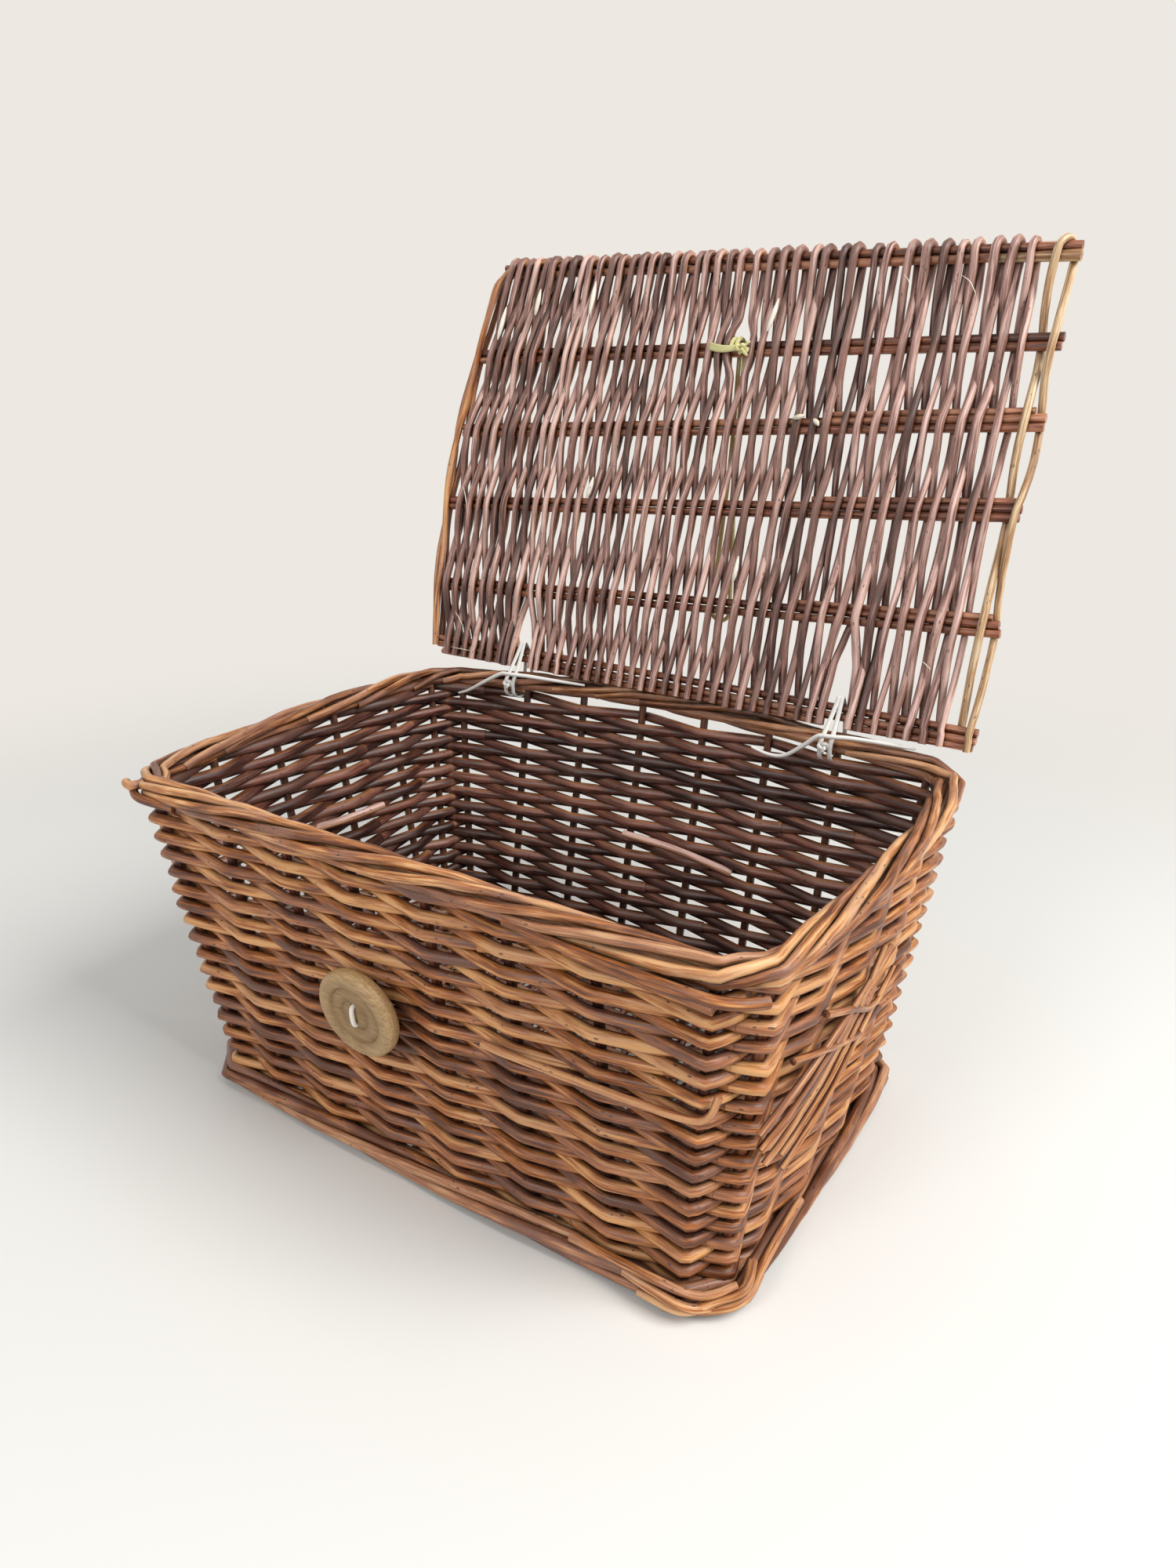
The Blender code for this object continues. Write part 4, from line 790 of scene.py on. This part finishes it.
def lid_leg(x_at_back, parity, thickness, drift, sway=0.0009, top_shift=0.0):
    """Points up one leg, from below the back pair to the front pair. Parity 0 starts on the inner face."""
    line = []
    reach = STICK_RADIUS + thickness
    steps = 6
    start = -0.0086 - luck.uniform(0, 0.0012)
    rises = [start, *[pair_rise(pair, x_at_back) for pair in range(6)]]
    shifts = [luck.uniform(-sway, sway) for _ in range(7)]
    bows = [luck.uniform(0.0, 2.0) * sway * (1 if (pair + parity) % 2 else -1) for pair in range(6)]
    for pair in range(6):
        here, after = rises[pair], rises[pair + 1]
        sign_after = 1 if (pair + parity) % 2 == 0 else -1
        sign_here = -sign_after if pair else sign_after
        for step in range(steps):
            share = step / steps
            rise = here + (after - here) * share
            swing = 0.55 * share + 0.45 * (0.5 - 0.5 * math.cos(math.pi * share))
            depth = reach * (sign_here + (sign_after - sign_here) * swing)
            if pair == 0:
                depth = reach * sign_after
            bow = bows[pair] * math.sin(math.pi * share)
            aside = shifts[pair] + (shifts[pair + 1] - shifts[pair]) * share + bow if pair else 0.0
            x = x_at_back + drift * rise / LID_LENGTH + aside + (top_shift * share if pair == 5 else 0.0)
            line.append(on_lid(clear_of_slits(follow_edge(x, rise), rise, x_at_back), rise, depth))
    return line


def over_front(x_first, x_second, thickness, first_sign):
    """The turn over the front pair, from one face to the other."""
    reach = STICK_RADIUS + thickness + 0.0004
    line = []
    for step in range(7):
        angle = math.pi * step / 6
        x = x_first + (x_second - x_first) * step / 6
        rise = pair_rise(5, x) + 0.0008 + (reach + 0.0004) * math.sin(angle)
        line.append(on_lid(x, rise, first_sign * reach * math.cos(angle)))
    return line


places = leg_places(2 * HAIRPINS, -0.2030, 0.1865)
bands = {"left": [], "middle_left": [], "middle_right": [], "right": []}
for pin in range(HAIRPINS):
    first, second = places[2 * pin], places[2 * pin + 1]
    thick = luck.uniform(0.0023, 0.0029)
    drift = luck.uniform(-0.0016, 0.0022)
    up = lid_leg(first, 1, thick, drift)
    down = lid_leg(second, 0, thick * 0.93, drift, top_shift=0.65 * (first - second))
    top_first = follow_edge(first + drift, LID_LENGTH)
    top_second = follow_edge(first + drift + 0.35 * (second - first), LID_LENGTH)
    line = [*up, *over_front(top_first, top_second, thick, 1), *reversed(down)]
    middle = (first + second) / 2
    band = ("left" if middle < TIES[0] else "middle_left" if middle < CLOSURE_X else
            "middle_right" if middle < TIES[1] else "right")
    bands[band].append(rod(line, (thick, thick * 0.86), luck.random(), LID_OUT))
for order, (aside, depth) in enumerate(((0.0058, 0.0030), (0.0052, -0.0028), (0.0088, 0.0002))):
    thick = (0.0027, 0.0026, 0.0024)[order]
    line = []
    for step in range(20):
        share = step / 19
        rise = -0.004 + 0.269 * share
        x = left_edge(max(0.0, rise) / LID_LENGTH) + 0.0040 - aside + 0.0010 * math.sin(9 * share + 2 * order)
        line.append(on_lid(x, rise, depth + 0.0016 * math.sin(16 * share + 2.1 * order)))
    corner = left_edge(1.0) + 0.004 - aside
    for turn in (0.35, 0.7, 1.0):
        angle = turn * math.pi / 2
        x = corner + 0.013 * (1 - math.cos(angle)) + aside * turn
        line.append(on_lid(x, 0.266 + 0.013 * math.sin(angle), depth))
    line.append(on_lid(corner + 0.045, 0.2800, depth))
    bands["left"].append(rod(line, (thick, thick * 0.8), (0.75, 0.45, 0.6)[order], (0.0, -1.0, 0.0)))
for band, rods in bands.items():
    woven("lid_rods_" + band, rods, LID_WILLOW, "lid", ["lid_weave_" + band],
          sides=10, step=0.0035, wander=0.0009, seed=13.0)

# %% [markdown]
# Where the bark is torn, slivers of cream wood show on the lid, and a few loose fibres hang off the rods.
# They are very short thin rods laid on the inner face.
# %% Torn bark and fibres
TORN = ((-0.1870, 0.224, -0.1832, 0.247), (-0.1562, 0.241, -0.1544, 0.259), (0.0280, 0.229, 0.0322, 0.249),
        (-0.0880, 0.116, -0.0850, 0.131), (0.0345, 0.071, 0.0355, 0.088), (-0.1095, 0.241, -0.1080, 0.263),
        (0.0560, 0.176, 0.0640, 0.178), (0.0700, 0.1760, 0.0740, 0.1720))
FIBRES = ((-0.1904, 0.0235, -0.1807, 0.0128), (-0.1893, -0.0033, -0.1701, -0.0035),
          (-0.1999, 0.1169, -0.1924, 0.0970), (0.1436, 0.2598, 0.1552, 0.2465),
          (0.1100, 0.2610, 0.1160, 0.2450), (0.1650, 0.0390, 0.1710, 0.0330))
luck = random.Random(67)
rods = []
for table, thick, bend in ((TORN, 0.0016, 0.0006), (FIBRES, 0.0003, 0.0040)):
    for x_first, rise_first, x_last, rise_last in table:
        line = []
        for step in range(6):
            share = step / 5
            sag = math.sin(math.pi * share) * luck.uniform(0.5, 1.0) * bend
            x = x_first + (x_last - x_first) * share + sag
            line.append(on_lid(x, rise_first + (rise_last - rise_first) * share, 0.0092 + sag))
        radii = [thick * value for value in (0.35, 0.9, 1.0, 1.0, 0.7, 0.25)]
        rods.append(rod(line, radii, luck.uniform(0.85, 1.0), LID_OUT))
woven("torn_bark_lid", rods, CREAM_WOOD, "lid", ["lid_weave_left", "lid_weave_middle_left",
      "lid_weave_middle_right", "lid_weave_right"], sides=8, step=0.0015, seed=8.0)

# %% [markdown]
# The last hairpin at the right end is pale and stands a little apart from the others.
# %% Lid edge rod
luck = random.Random(71)
up = lid_leg(0.1935, 1, 0.0024, 0.0)
down = lid_leg(0.2005, 0, 0.0024, 0.001)
line = [*up, *over_front(0.1935, 0.2015, 0.0024, 1), *reversed(down)]
woven("lid_edge_rods", [rod(line, (0.0025, 0.0022), 0.7, LID_OUT)], PALE_WILLOW,
      "lid", ["lid_edge_rod"], sides=12, step=0.003, wander=0.0012, seed=2.0)

# %% [markdown]
# Two white plastic-coated ties hinge the lid to the border. Each is a flat belt that passes under the
# border and over the lid's back pair, where it comes to a point, a knot on the border's inner side, and two
# free tails that lie on the rim. A belt is a flat oval swept round a closed section, the knot is a trefoil
# path, and the tails are swept along the CAD route with a taper to the tip.
# %% Ties and tails
STRAP = plain("white_strap_plastic", "#E9E8E4", 0.45)
TAIL_ROUTES = {
    "left": ((-0.176, 0.12824, 0.19534), (-0.165, 0.12724, 0.19984), (-0.153, 0.12674, 0.20684),
             (-0.141, 0.12744, 0.21384), (-0.134, 0.12824, 0.21734), (-0.129, 0.12824, 0.21784),
             (-0.123, 0.12864, 0.21804), (-0.114, 0.13124, 0.21784), (-0.100, 0.13474, 0.21704),
             (-0.084, 0.13724, 0.21664), (-0.068, 0.13824, 0.21684)),
    "right": ((0.069, 0.12793, 0.20074), (0.081, 0.12793, 0.19824), (0.092, 0.12793, 0.19974),
              (0.104, 0.12833, 0.20874), (0.112, 0.12893, 0.21604), (0.117, 0.12893, 0.21724),
              (0.123, 0.12933, 0.21764), (0.132, 0.13193, 0.21784), (0.145, 0.13493, 0.21744),
              (0.159, 0.13743, 0.21684), (0.171, 0.13843, 0.21664)),
}


def cord_curve(name, route, radius, material):
    curve = bpy.data.curves.new(name, "CURVE")
    curve.dimensions = "3D"
    curve.bevel_depth = radius
    curve.bevel_resolution = 4
    curve.use_fill_caps = True
    spline = curve.splines.new("POLY")
    spline.points.add(len(route) - 1)
    for point, spot in zip(spline.points, route):
        point.co = (*spot, 1)
    spline.use_smooth = True
    curve.materials.append(material)
    return put(name, curve)


def smoothed(route, parts=4):
    """A smooth line through the points of a route."""
    line = [np.array(point, float) for point in route]
    line = [2 * line[0] - line[1], *line, 2 * line[-1] - line[-2]]
    made = []
    for a, b, c, d in zip(line, line[1:], line[2:], line[3:]):
        for step in range(parts):
            t = step / parts
            made.append(0.5 * (2 * b + (c - a) * t + (2 * a - 5 * b + 4 * c - d) * t * t
                               + (3 * b - a - 3 * c + d) * t ** 3))
    return [tuple(map(float, point)) for point in [*made, line[-2]]]


def length_of(route):
    return sum(math.dist(a, b) for a, b in zip(route, route[1:]))


def flat_band(name, route, widths, thicknesses, across, material, closed=False, sides=12):
    """Sweeps a flat oval along a route; across is the way its wide side points."""
    form = bmesh.new()
    line = [Vector(point) for point in route]
    rings = []
    for index, point in enumerate(line):
        before = line[index - 1] if index or closed else line[0]
        after = line[(index + 1) % len(line)] if index + 1 < len(line) or closed else line[-1]
        wide = Vector(across)
        along = (after - before).normalized()
        thin = along.cross(wide).normalized()
        wide = thin.cross(along).normalized()
        ring = []
        for side in range(sides):
            angle = 2 * math.pi * side / sides
            ring.append(form.verts.new(point + wide * (widths[index] / 2 * math.cos(angle))
                                       + thin * (thicknesses[index] / 2 * math.sin(angle))))
        rings.append(ring)
    pairs = list(zip(rings, rings[1:])) + ([(rings[-1], rings[0])] if closed else [])
    for first, second in pairs:
        for side in range(sides):
            form.faces.new((first[side], first[(side + 1) % sides], second[(side + 1) % sides], second[side]))
    if not closed:
        form.faces.new(list(reversed(rings[0])))
        form.faces.new(rings[-1])
    bmesh.ops.recalc_face_normals(form, faces=form.faces)
    mesh = meshed(name, form)
    mesh.materials.append(material)
    mesh.shade_smooth()
    return mesh


KNOT_STEPS = 40


def trefoil(middle, size, turned_by):
    """The path of a simple knot round a middle point."""
    turn = Matrix.Rotation(turned_by, 3, "X")
    made = []
    for step in range(KNOT_STEPS):
        t = 2 * math.pi * step / KNOT_STEPS
        spot = Vector((math.sin(t) + 2 * math.sin(2 * t), math.cos(t) - 2 * math.cos(2 * t),
                       -1.3 * math.sin(3 * t)))
        made.append(tuple(Vector(middle) + turn @ spot * (size / 3)))
    return made


def joined(name, meshes, body, slot, replaced):
    """One object made of several meshes."""
    form = bmesh.new()
    for mesh in meshes:
        form.from_mesh(mesh)
    whole = meshed(name, form)
    whole.materials.append(meshes[0].materials[0])
    whole.shade_smooth()
    item = put(name, whole)
    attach(item, body)
    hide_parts(*replaced)
    return item


TIE_SECTION = ((-0.0122, 0.2088), (-0.0112, 0.2025), (-0.0060, 0.1990), (0.0030, 0.1988), (0.0088, 0.2010),
               (0.0112, 0.2060), (0.0116, 0.2140), (0.0110, 0.2230), (0.0088, 0.2310), (0.0062, 0.2362),
               (0.0040, 0.2384), (0.0022, 0.2350), (-0.0012, 0.2285), (-0.0052, 0.2220), (-0.0092, 0.2160),
               (-0.0118, 0.2120))
STRAND_SPREAD, STRAND_WIDTH, STRAND_THICKNESS = 0.0034, 0.0030, 0.0013


def strand_x(x, z, aside):
    """A belt's two strands lean to the right as they rise, and close up towards its point."""
    pinch = 1 - 0.7 * max(0.0, (z - 0.212) / 0.0264)
    return x + 0.06 * max(0.0, z - 0.209) + aside * STRAND_SPREAD * pinch


for side, x, border_y, knot_y in (("left", TIES[0], 0.1421, 0.1288), ("right", TIES[1], 0.1429, 0.1290)):
    strands = []
    for aside in (-1, 1):
        section = [(strand_x(x, z, aside), border_y + y, z) for y, z in (*TIE_SECTION, TIE_SECTION[0])]
        shape = smoothed(section, 3)[:-1]
        strands.append(flat_band("strand", shape, [STRAND_WIDTH] * len(shape), [STRAND_THICKNESS] * len(shape),
                                 (1, 0, 0), STRAP, closed=True))
    knot_line = trefoil((x - 0.0005, knot_y, 0.2100), 0.0030, math.radians(70))
    knot = flat_band("knot", knot_line, [0.0026] * KNOT_STEPS, [0.0020] * KNOT_STEPS, (0.3, 0.2, 0.9), STRAP,
                     closed=True, sides=10)
    joined("strap_tie_" + side, [*strands, knot], "basket", "white_strap", ["hinge_tie_" + side])
    print("tie", side, len(shape), "sections")


for side, route in TAIL_ROUTES.items():
    for end, part in (("outer" if side == "left" else "inner", route[:6][::-1]), ("long", route[5:])):
        line = smoothed(part)
        tail = cord_curve("tail_%s_%s" % (side, end), line, 0.0015, STRAP)
        points = tail.data.splines[0].points
        for index, point in enumerate(points):
            point.radius = 1.0 - 0.45 * (index / (len(points) - 1)) ** 3
        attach(tail, "basket")
        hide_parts("hinge_tails_" + side)
        print(tail.name, "length", round(length_of(line), 4))

# %% [markdown]
# The button is turned from one disc of pale wood: a rounded rim, a shallow dish, two cut rings and two
# holes. A turned piece is a profile spun round its axis, and the holes are cut with Booleans.
# %% Button
WOOD = bpy.data.materials.new("turned_button_wood")
WOOD.use_nodes = True
tree = WOOD.node_tree
coords = add(tree, "ShaderNodeTexCoord").outputs["Object"]
grain = add(tree, "ShaderNodeMapping", {"Vector": coords, "Scale": (25.0, 220.0, 220.0)})
fibre = add(tree, "ShaderNodeTexNoise", {"Vector": grain.outputs[0], "Scale": 4.0, "Detail": 6.0,
                                         "Roughness": 0.7})
turned_at = add(tree, "ShaderNodeAttribute", attribute_name="turned_radius").outputs["Fac"]
# The rounded rim is coloured paler than the dished face: partly the wood and partly painted light, for the
# light the rim catches.
towards_rim = ranged(tree, turned_at, 0.0150, 0.0250)
colours = [mixed_colour(tree, towards_rim, linear(face), linear(rim))
           for face, rim in (("#7A5D38", "#8F6F47"), ("#AA8A5E", "#C7A778"))]
wood = mixed_colour(tree, ranged(tree, fibre.outputs["Fac"], 0.30, 0.70), *colours)
shader = tree.nodes["Principled BSDF"]
tree.links.new(wood, shader.inputs["Base Color"])
shader.inputs["Roughness"].default_value = 0.42
lines = maths(tree, "SINE", maths(tree, "MULTIPLY", turned_at, 9000.0))
lathe_marks = add(tree, "ShaderNodeBump", {"Height": lines, "Strength": 0.25, "Distance": 0.0002})
tree.links.new(lathe_marks.outputs[0], shader.inputs["Normal"])
HOLE_RADIUS, HOLE_PLACE = 0.0018, 0.006
TILT = math.radians(6.667)
BUTTON_AXIS = Vector((0, -math.cos(TILT), -math.sin(TILT)))
low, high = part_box("button")
BUTTON_MIDDLE = (low + high) / 2
PROFILE = ((0.0, 0.0030), (0.0082, 0.0031), (0.0084, 0.0024), (0.0089, 0.0024), (0.0091, 0.0032),
           (0.0160, 0.0036), (0.0163, 0.0029), (0.0169, 0.0029), (0.0171, 0.0040), (0.0190, 0.0046),
           (0.0220, 0.0047), (0.0243, 0.0040), (0.0256, 0.0026), (0.0260, 0.0005), (0.0257, -0.0022),
           (0.0245, -0.0040), (0.0224, -0.0047), (0.0, -0.0047))
form = bmesh.new()
rim = [form.verts.new((radius, 0, height)) for radius, height in PROFILE]
edges = [form.edges.new(pair) for pair in zip(rim, rim[1:])]
bmesh.ops.spin(form, geom=rim + edges, cent=(0, 0, 0), axis=(0, 0, 1), angle=2 * math.pi, steps=96)
bmesh.ops.remove_doubles(form, verts=form.verts, dist=0.00002)
bmesh.ops.recalc_face_normals(form, faces=form.faces)
mesh = meshed("button_disc", form)
mesh.materials.append(WOOD)
disc = put("button_disc", mesh)
cutters = []
for sign in (-1, 1):
    form = bmesh.new()
    bmesh.ops.create_cone(form, cap_ends=True, segments=32, radius1=HOLE_RADIUS, radius2=HOLE_RADIUS,
                          depth=0.03)
    bmesh.ops.translate(form, vec=(0, sign * HOLE_PLACE, 0), verts=form.verts)
    hole = put("hole", meshed("hole", form))
    cut = disc.modifiers.new("hole", "BOOLEAN")
    cut.operation, cut.solver, cut.object = "DIFFERENCE", "EXACT", hole
    cutters.append(hole)
finished = bpy.data.meshes.new_from_object(disc.evaluated_get(bpy.context.evaluated_depsgraph_get()))
disc.modifiers.clear()
disc.data = finished
for hole in cutters:
    bpy.data.objects.remove(hole, do_unlink=True)
radii = [math.hypot(vertex.co.x, vertex.co.y) for vertex in finished.vertices]
finished.attributes.new("turned_radius", "FLOAT", "POINT").data.foreach_set("value", radii)
turned = Matrix.Translation(BUTTON_MIDDLE) @ BUTTON_AXIS.to_track_quat("Z", "Y").to_matrix().to_4x4()
finished.transform(turned)
finished.shade_smooth()
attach(disc, "button")
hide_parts("button")
print("button disc", len(finished.polygons), "faces at", [round(v, 4) for v in BUTTON_MIDDLE])

# %% [markdown]
# White twine holds the button: one stitch shows between its two holes.
# %% Stitch
TWINE = plain("white_twine", "#E8E4DA", 0.85)
stitch_route = [(0, -0.006, -0.010), (0, -0.006, -0.002), (0, -0.0059, 0.0030), (0, -0.0038, 0.0045),
                (0, 0, 0.0048),
                (0, 0.0038, 0.0045), (0, 0.0059, 0.0030), (0, 0.006, -0.002), (0, 0.006, -0.010)]
line = smoothed([tuple(turned @ Vector(point)) for point in stitch_route])
stitch = cord_curve("stitch_thread", line, 0.0013, TWINE)
graph = bpy.context.evaluated_depsgraph_get()
stitch_mesh = bpy.data.meshes.new_from_object(stitch.evaluated_get(graph))
bpy.data.objects.remove(stitch, do_unlink=True)
stitch = put("stitch_thread", stitch_mesh)
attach(stitch, "button")
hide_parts("button_stitch")

# %% [markdown]
# The closing cord is a long raffia loop on the lid's outer face, hitched round the second stick pair. It
# swings on its hitch. Its knot shows on the inner face.
# %% Closing cord
RAFFIA = plain("raffia_cord", "#D2CC93", 0.7)
LOOP = ((0.0032, 0.20188, 0.43909), (0.0032, 0.2024, 0.44171), (0.0032, 0.20389, 0.44393),
        (0.0032, 0.20611, 0.44541), (0.0032, 0.20873, 0.44593), (0.0032, 0.21135, 0.44541),
        (0.0032, 0.21357, 0.44393), (0.0032, 0.21505, 0.44171), (0.0032, 0.21557, 0.43909),
        (0.0032, 0.21329, 0.41059), (0.0032, 0.21101, 0.38209), (0.0024, 0.20873, 0.35359),
        (0.00093, 0.20644, 0.32509), (-0.00053, 0.20416, 0.29659), (-0.002, 0.20188, 0.26809),
        (-0.00147, 0.20188, 0.26541), (5e-05, 0.20188, 0.26314), (0.00232, 0.20188, 0.26162),
        (0.005, 0.20188, 0.26109), (0.00768, 0.20188, 0.26162), (0.00995, 0.20188, 0.26314),
        (0.01147, 0.20188, 0.26541), (0.012, 0.20188, 0.26809), (0.01053, 0.20416, 0.29659),
        (0.00907, 0.20644, 0.32509), (0.0076, 0.20873, 0.35359), (0.0068, 0.21101, 0.38209),
        (0.0068, 0.21329, 0.41059), (0.0068, 0.21557, 0.43909), (0.0068, 0.21505, 0.44171),
        (0.0068, 0.21357, 0.44393), (0.0068, 0.21135, 0.44541), (0.0068, 0.20873, 0.44593),
        (0.0068, 0.20611, 0.44541), (0.0068, 0.20389, 0.44393), (0.0068, 0.2024, 0.44171),
        (0.0068, 0.20188, 0.43909))
loop = cord_curve("closing_cord", LOOP, 0.0015, RAFFIA)
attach(loop, "closing_loop")
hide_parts("closing_loop")
bands_of_raffia = []
for rise, lean, width in ((0.2192, -0.0022, 0.0026), (0.2206, -0.0030, 0.0022), (0.2180, -0.0010, 0.0024)):
    line = []
    for step in range(15):
        share = step / 14
        bulge = math.sin(math.pi * share)
        ripple = 0.0008 * math.sin(7 * share + 900 * width)
        line.append(on_lid(-0.0120 + 0.0290 * share, rise + lean * share + ripple, 0.0086 + 0.0020 * bulge))
    thick = [0.0008 + 0.0008 * math.sin(math.pi * step / 14) for step in range(15)]
    widths = [width * (0.6 + 440 * t) for t in thick]
    bands_of_raffia.append(flat_band("band", line, widths, thick, (0, 0.28, 0.96), RAFFIA))
heart = on_lid(0.0125, 0.2178, 0.0112)
knot_line = trefoil(heart, 0.0030, math.radians(80))
bands_of_raffia.append(flat_band("knot", knot_line, [0.0024] * KNOT_STEPS, [0.0014] * KNOT_STEPS,
                                 (0.2, 0.3, 0.9), RAFFIA, closed=True, sides=10))
for x, rise in ((0.0185, 0.2222), (0.0182, 0.2132)):
    line = [tuple(heart.lerp(on_lid(x, rise, 0.0115), step / 5)) for step in range(6)]
    widths = [0.0026, 0.0026, 0.0024, 0.0022, 0.0020, 0.0012]
    bands_of_raffia.append(flat_band("end", line, widths, [0.0010] * 6, (0, 0.28, 0.96), RAFFIA))
joined("raffia_knot", bands_of_raffia, "lid", "raffia_cord", ["closing_knot"])

# %% [markdown]
# The picture is a studio one: a pale floor that fades into a pale backdrop, a bright room, a large soft
# lamp from above and to the right, and a weaker one in front. The basket's shadow falls softly to the left.
# The backdrop's colour is what the camera and glossy bark see of the room; the room's own light on the
# willow is weaker, which keeps the bark's colours deep.
# %% Stage
PAPER = plain("pale_paper_floor", "#E9EAE8", 0.9)
tree = PAPER.node_tree
shader = tree.nodes["Principled BSDF"]
shader.inputs["Specular IOR Level"].default_value = 0.1
spot = add(tree, "ShaderNodeTexCoord").outputs["Object"]
away = add(tree, "ShaderNodeVectorMath", {0: spot}, operation="LENGTH").outputs["Value"]
fade = ranged(tree, away, 0.35, 1.15, interpolation_type="SMOOTHSTEP")
clear = add(tree, "ShaderNodeBsdfTransparent")
blend = add(tree, "ShaderNodeMixShader", {"Fac": fade, 1: shader.outputs[0], 2: clear.outputs[0]})
tree.links.new(blend.outputs[0], tree.nodes["Material Output"].inputs["Surface"])
form = bmesh.new()
bmesh.ops.create_circle(form, cap_ends=True, segments=96, radius=1.2)
mesh = meshed("stage_floor", form)
mesh.materials.append(PAPER)
floor = put("stage_floor", mesh)
floor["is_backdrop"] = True

world = bpy.data.worlds.new("studio")
bpy.context.scene.world = world
world.use_nodes = True
tree = world.node_tree
room = tree.nodes["Background"]
room.inputs["Color"].default_value = (1.0, 0.985, 0.96, 1)
room.inputs["Strength"].default_value = 0.45
backdrop = add(tree, "ShaderNodeBackground", {"Color": linear("#EDE8E2"), "Strength": 1.0})
path = add(tree, "ShaderNodeLightPath")
seen = maths(tree, "MAXIMUM", path.outputs["Is Camera Ray"], path.outputs["Is Glossy Ray"])
both = add(tree, "ShaderNodeMixShader", {"Fac": seen, 1: room.outputs[0], 2: backdrop.outputs[0]})
tree.links.new(both.outputs[0], tree.nodes["World Output"].inputs["Surface"])


def softbox(name, place, target, size, power, colour=(1, 1, 1)):
    light = bpy.data.lights.new(name, "AREA")
    light.shape = "RECTANGLE"
    light.size, light.size_y = size
    light.energy = power
    light.color = colour
    lamp = put(name, light)
    lamp.location = place
    lamp.rotation_euler = (Vector(target) - Vector(place)).to_track_quat("-Z", "Y").to_euler()


softbox("right_box", (1.5, 0.05, 1.7), (0, 0, 0.15), (1.1, 1.1), 42, (1.0, 0.98, 0.95))
softbox("front_box", (-0.1, -1.7, 1.2), (0, 0, 0.25), (0.6, 0.9), 11)

# %% [markdown]
# The camera stands where the photograph was taken: a wide phone lens close in front of the right corner, a
# little above the rim and looking down.
# %% Camera
lens = bpy.data.cameras.new("camera")
lens.sensor_width = 36.0
lens.lens = 25.244
lens.clip_start, lens.clip_end = 0.02, 60
camera = put("camera", lens)
camera.matrix_world = Matrix(((0.83349036, -0.20625655, 0.51259346, 0.34992),
                              (0.5525236, 0.30543808, -0.77551612, -0.48870),
                              (0.00338972, 0.92960519, 0.36854131, 0.43999), (0, 0, 0, 1)))
bpy.context.scene.camera = camera
bpy.context.scene.view_settings.view_transform = "Standard"

# %% Size
low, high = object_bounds()
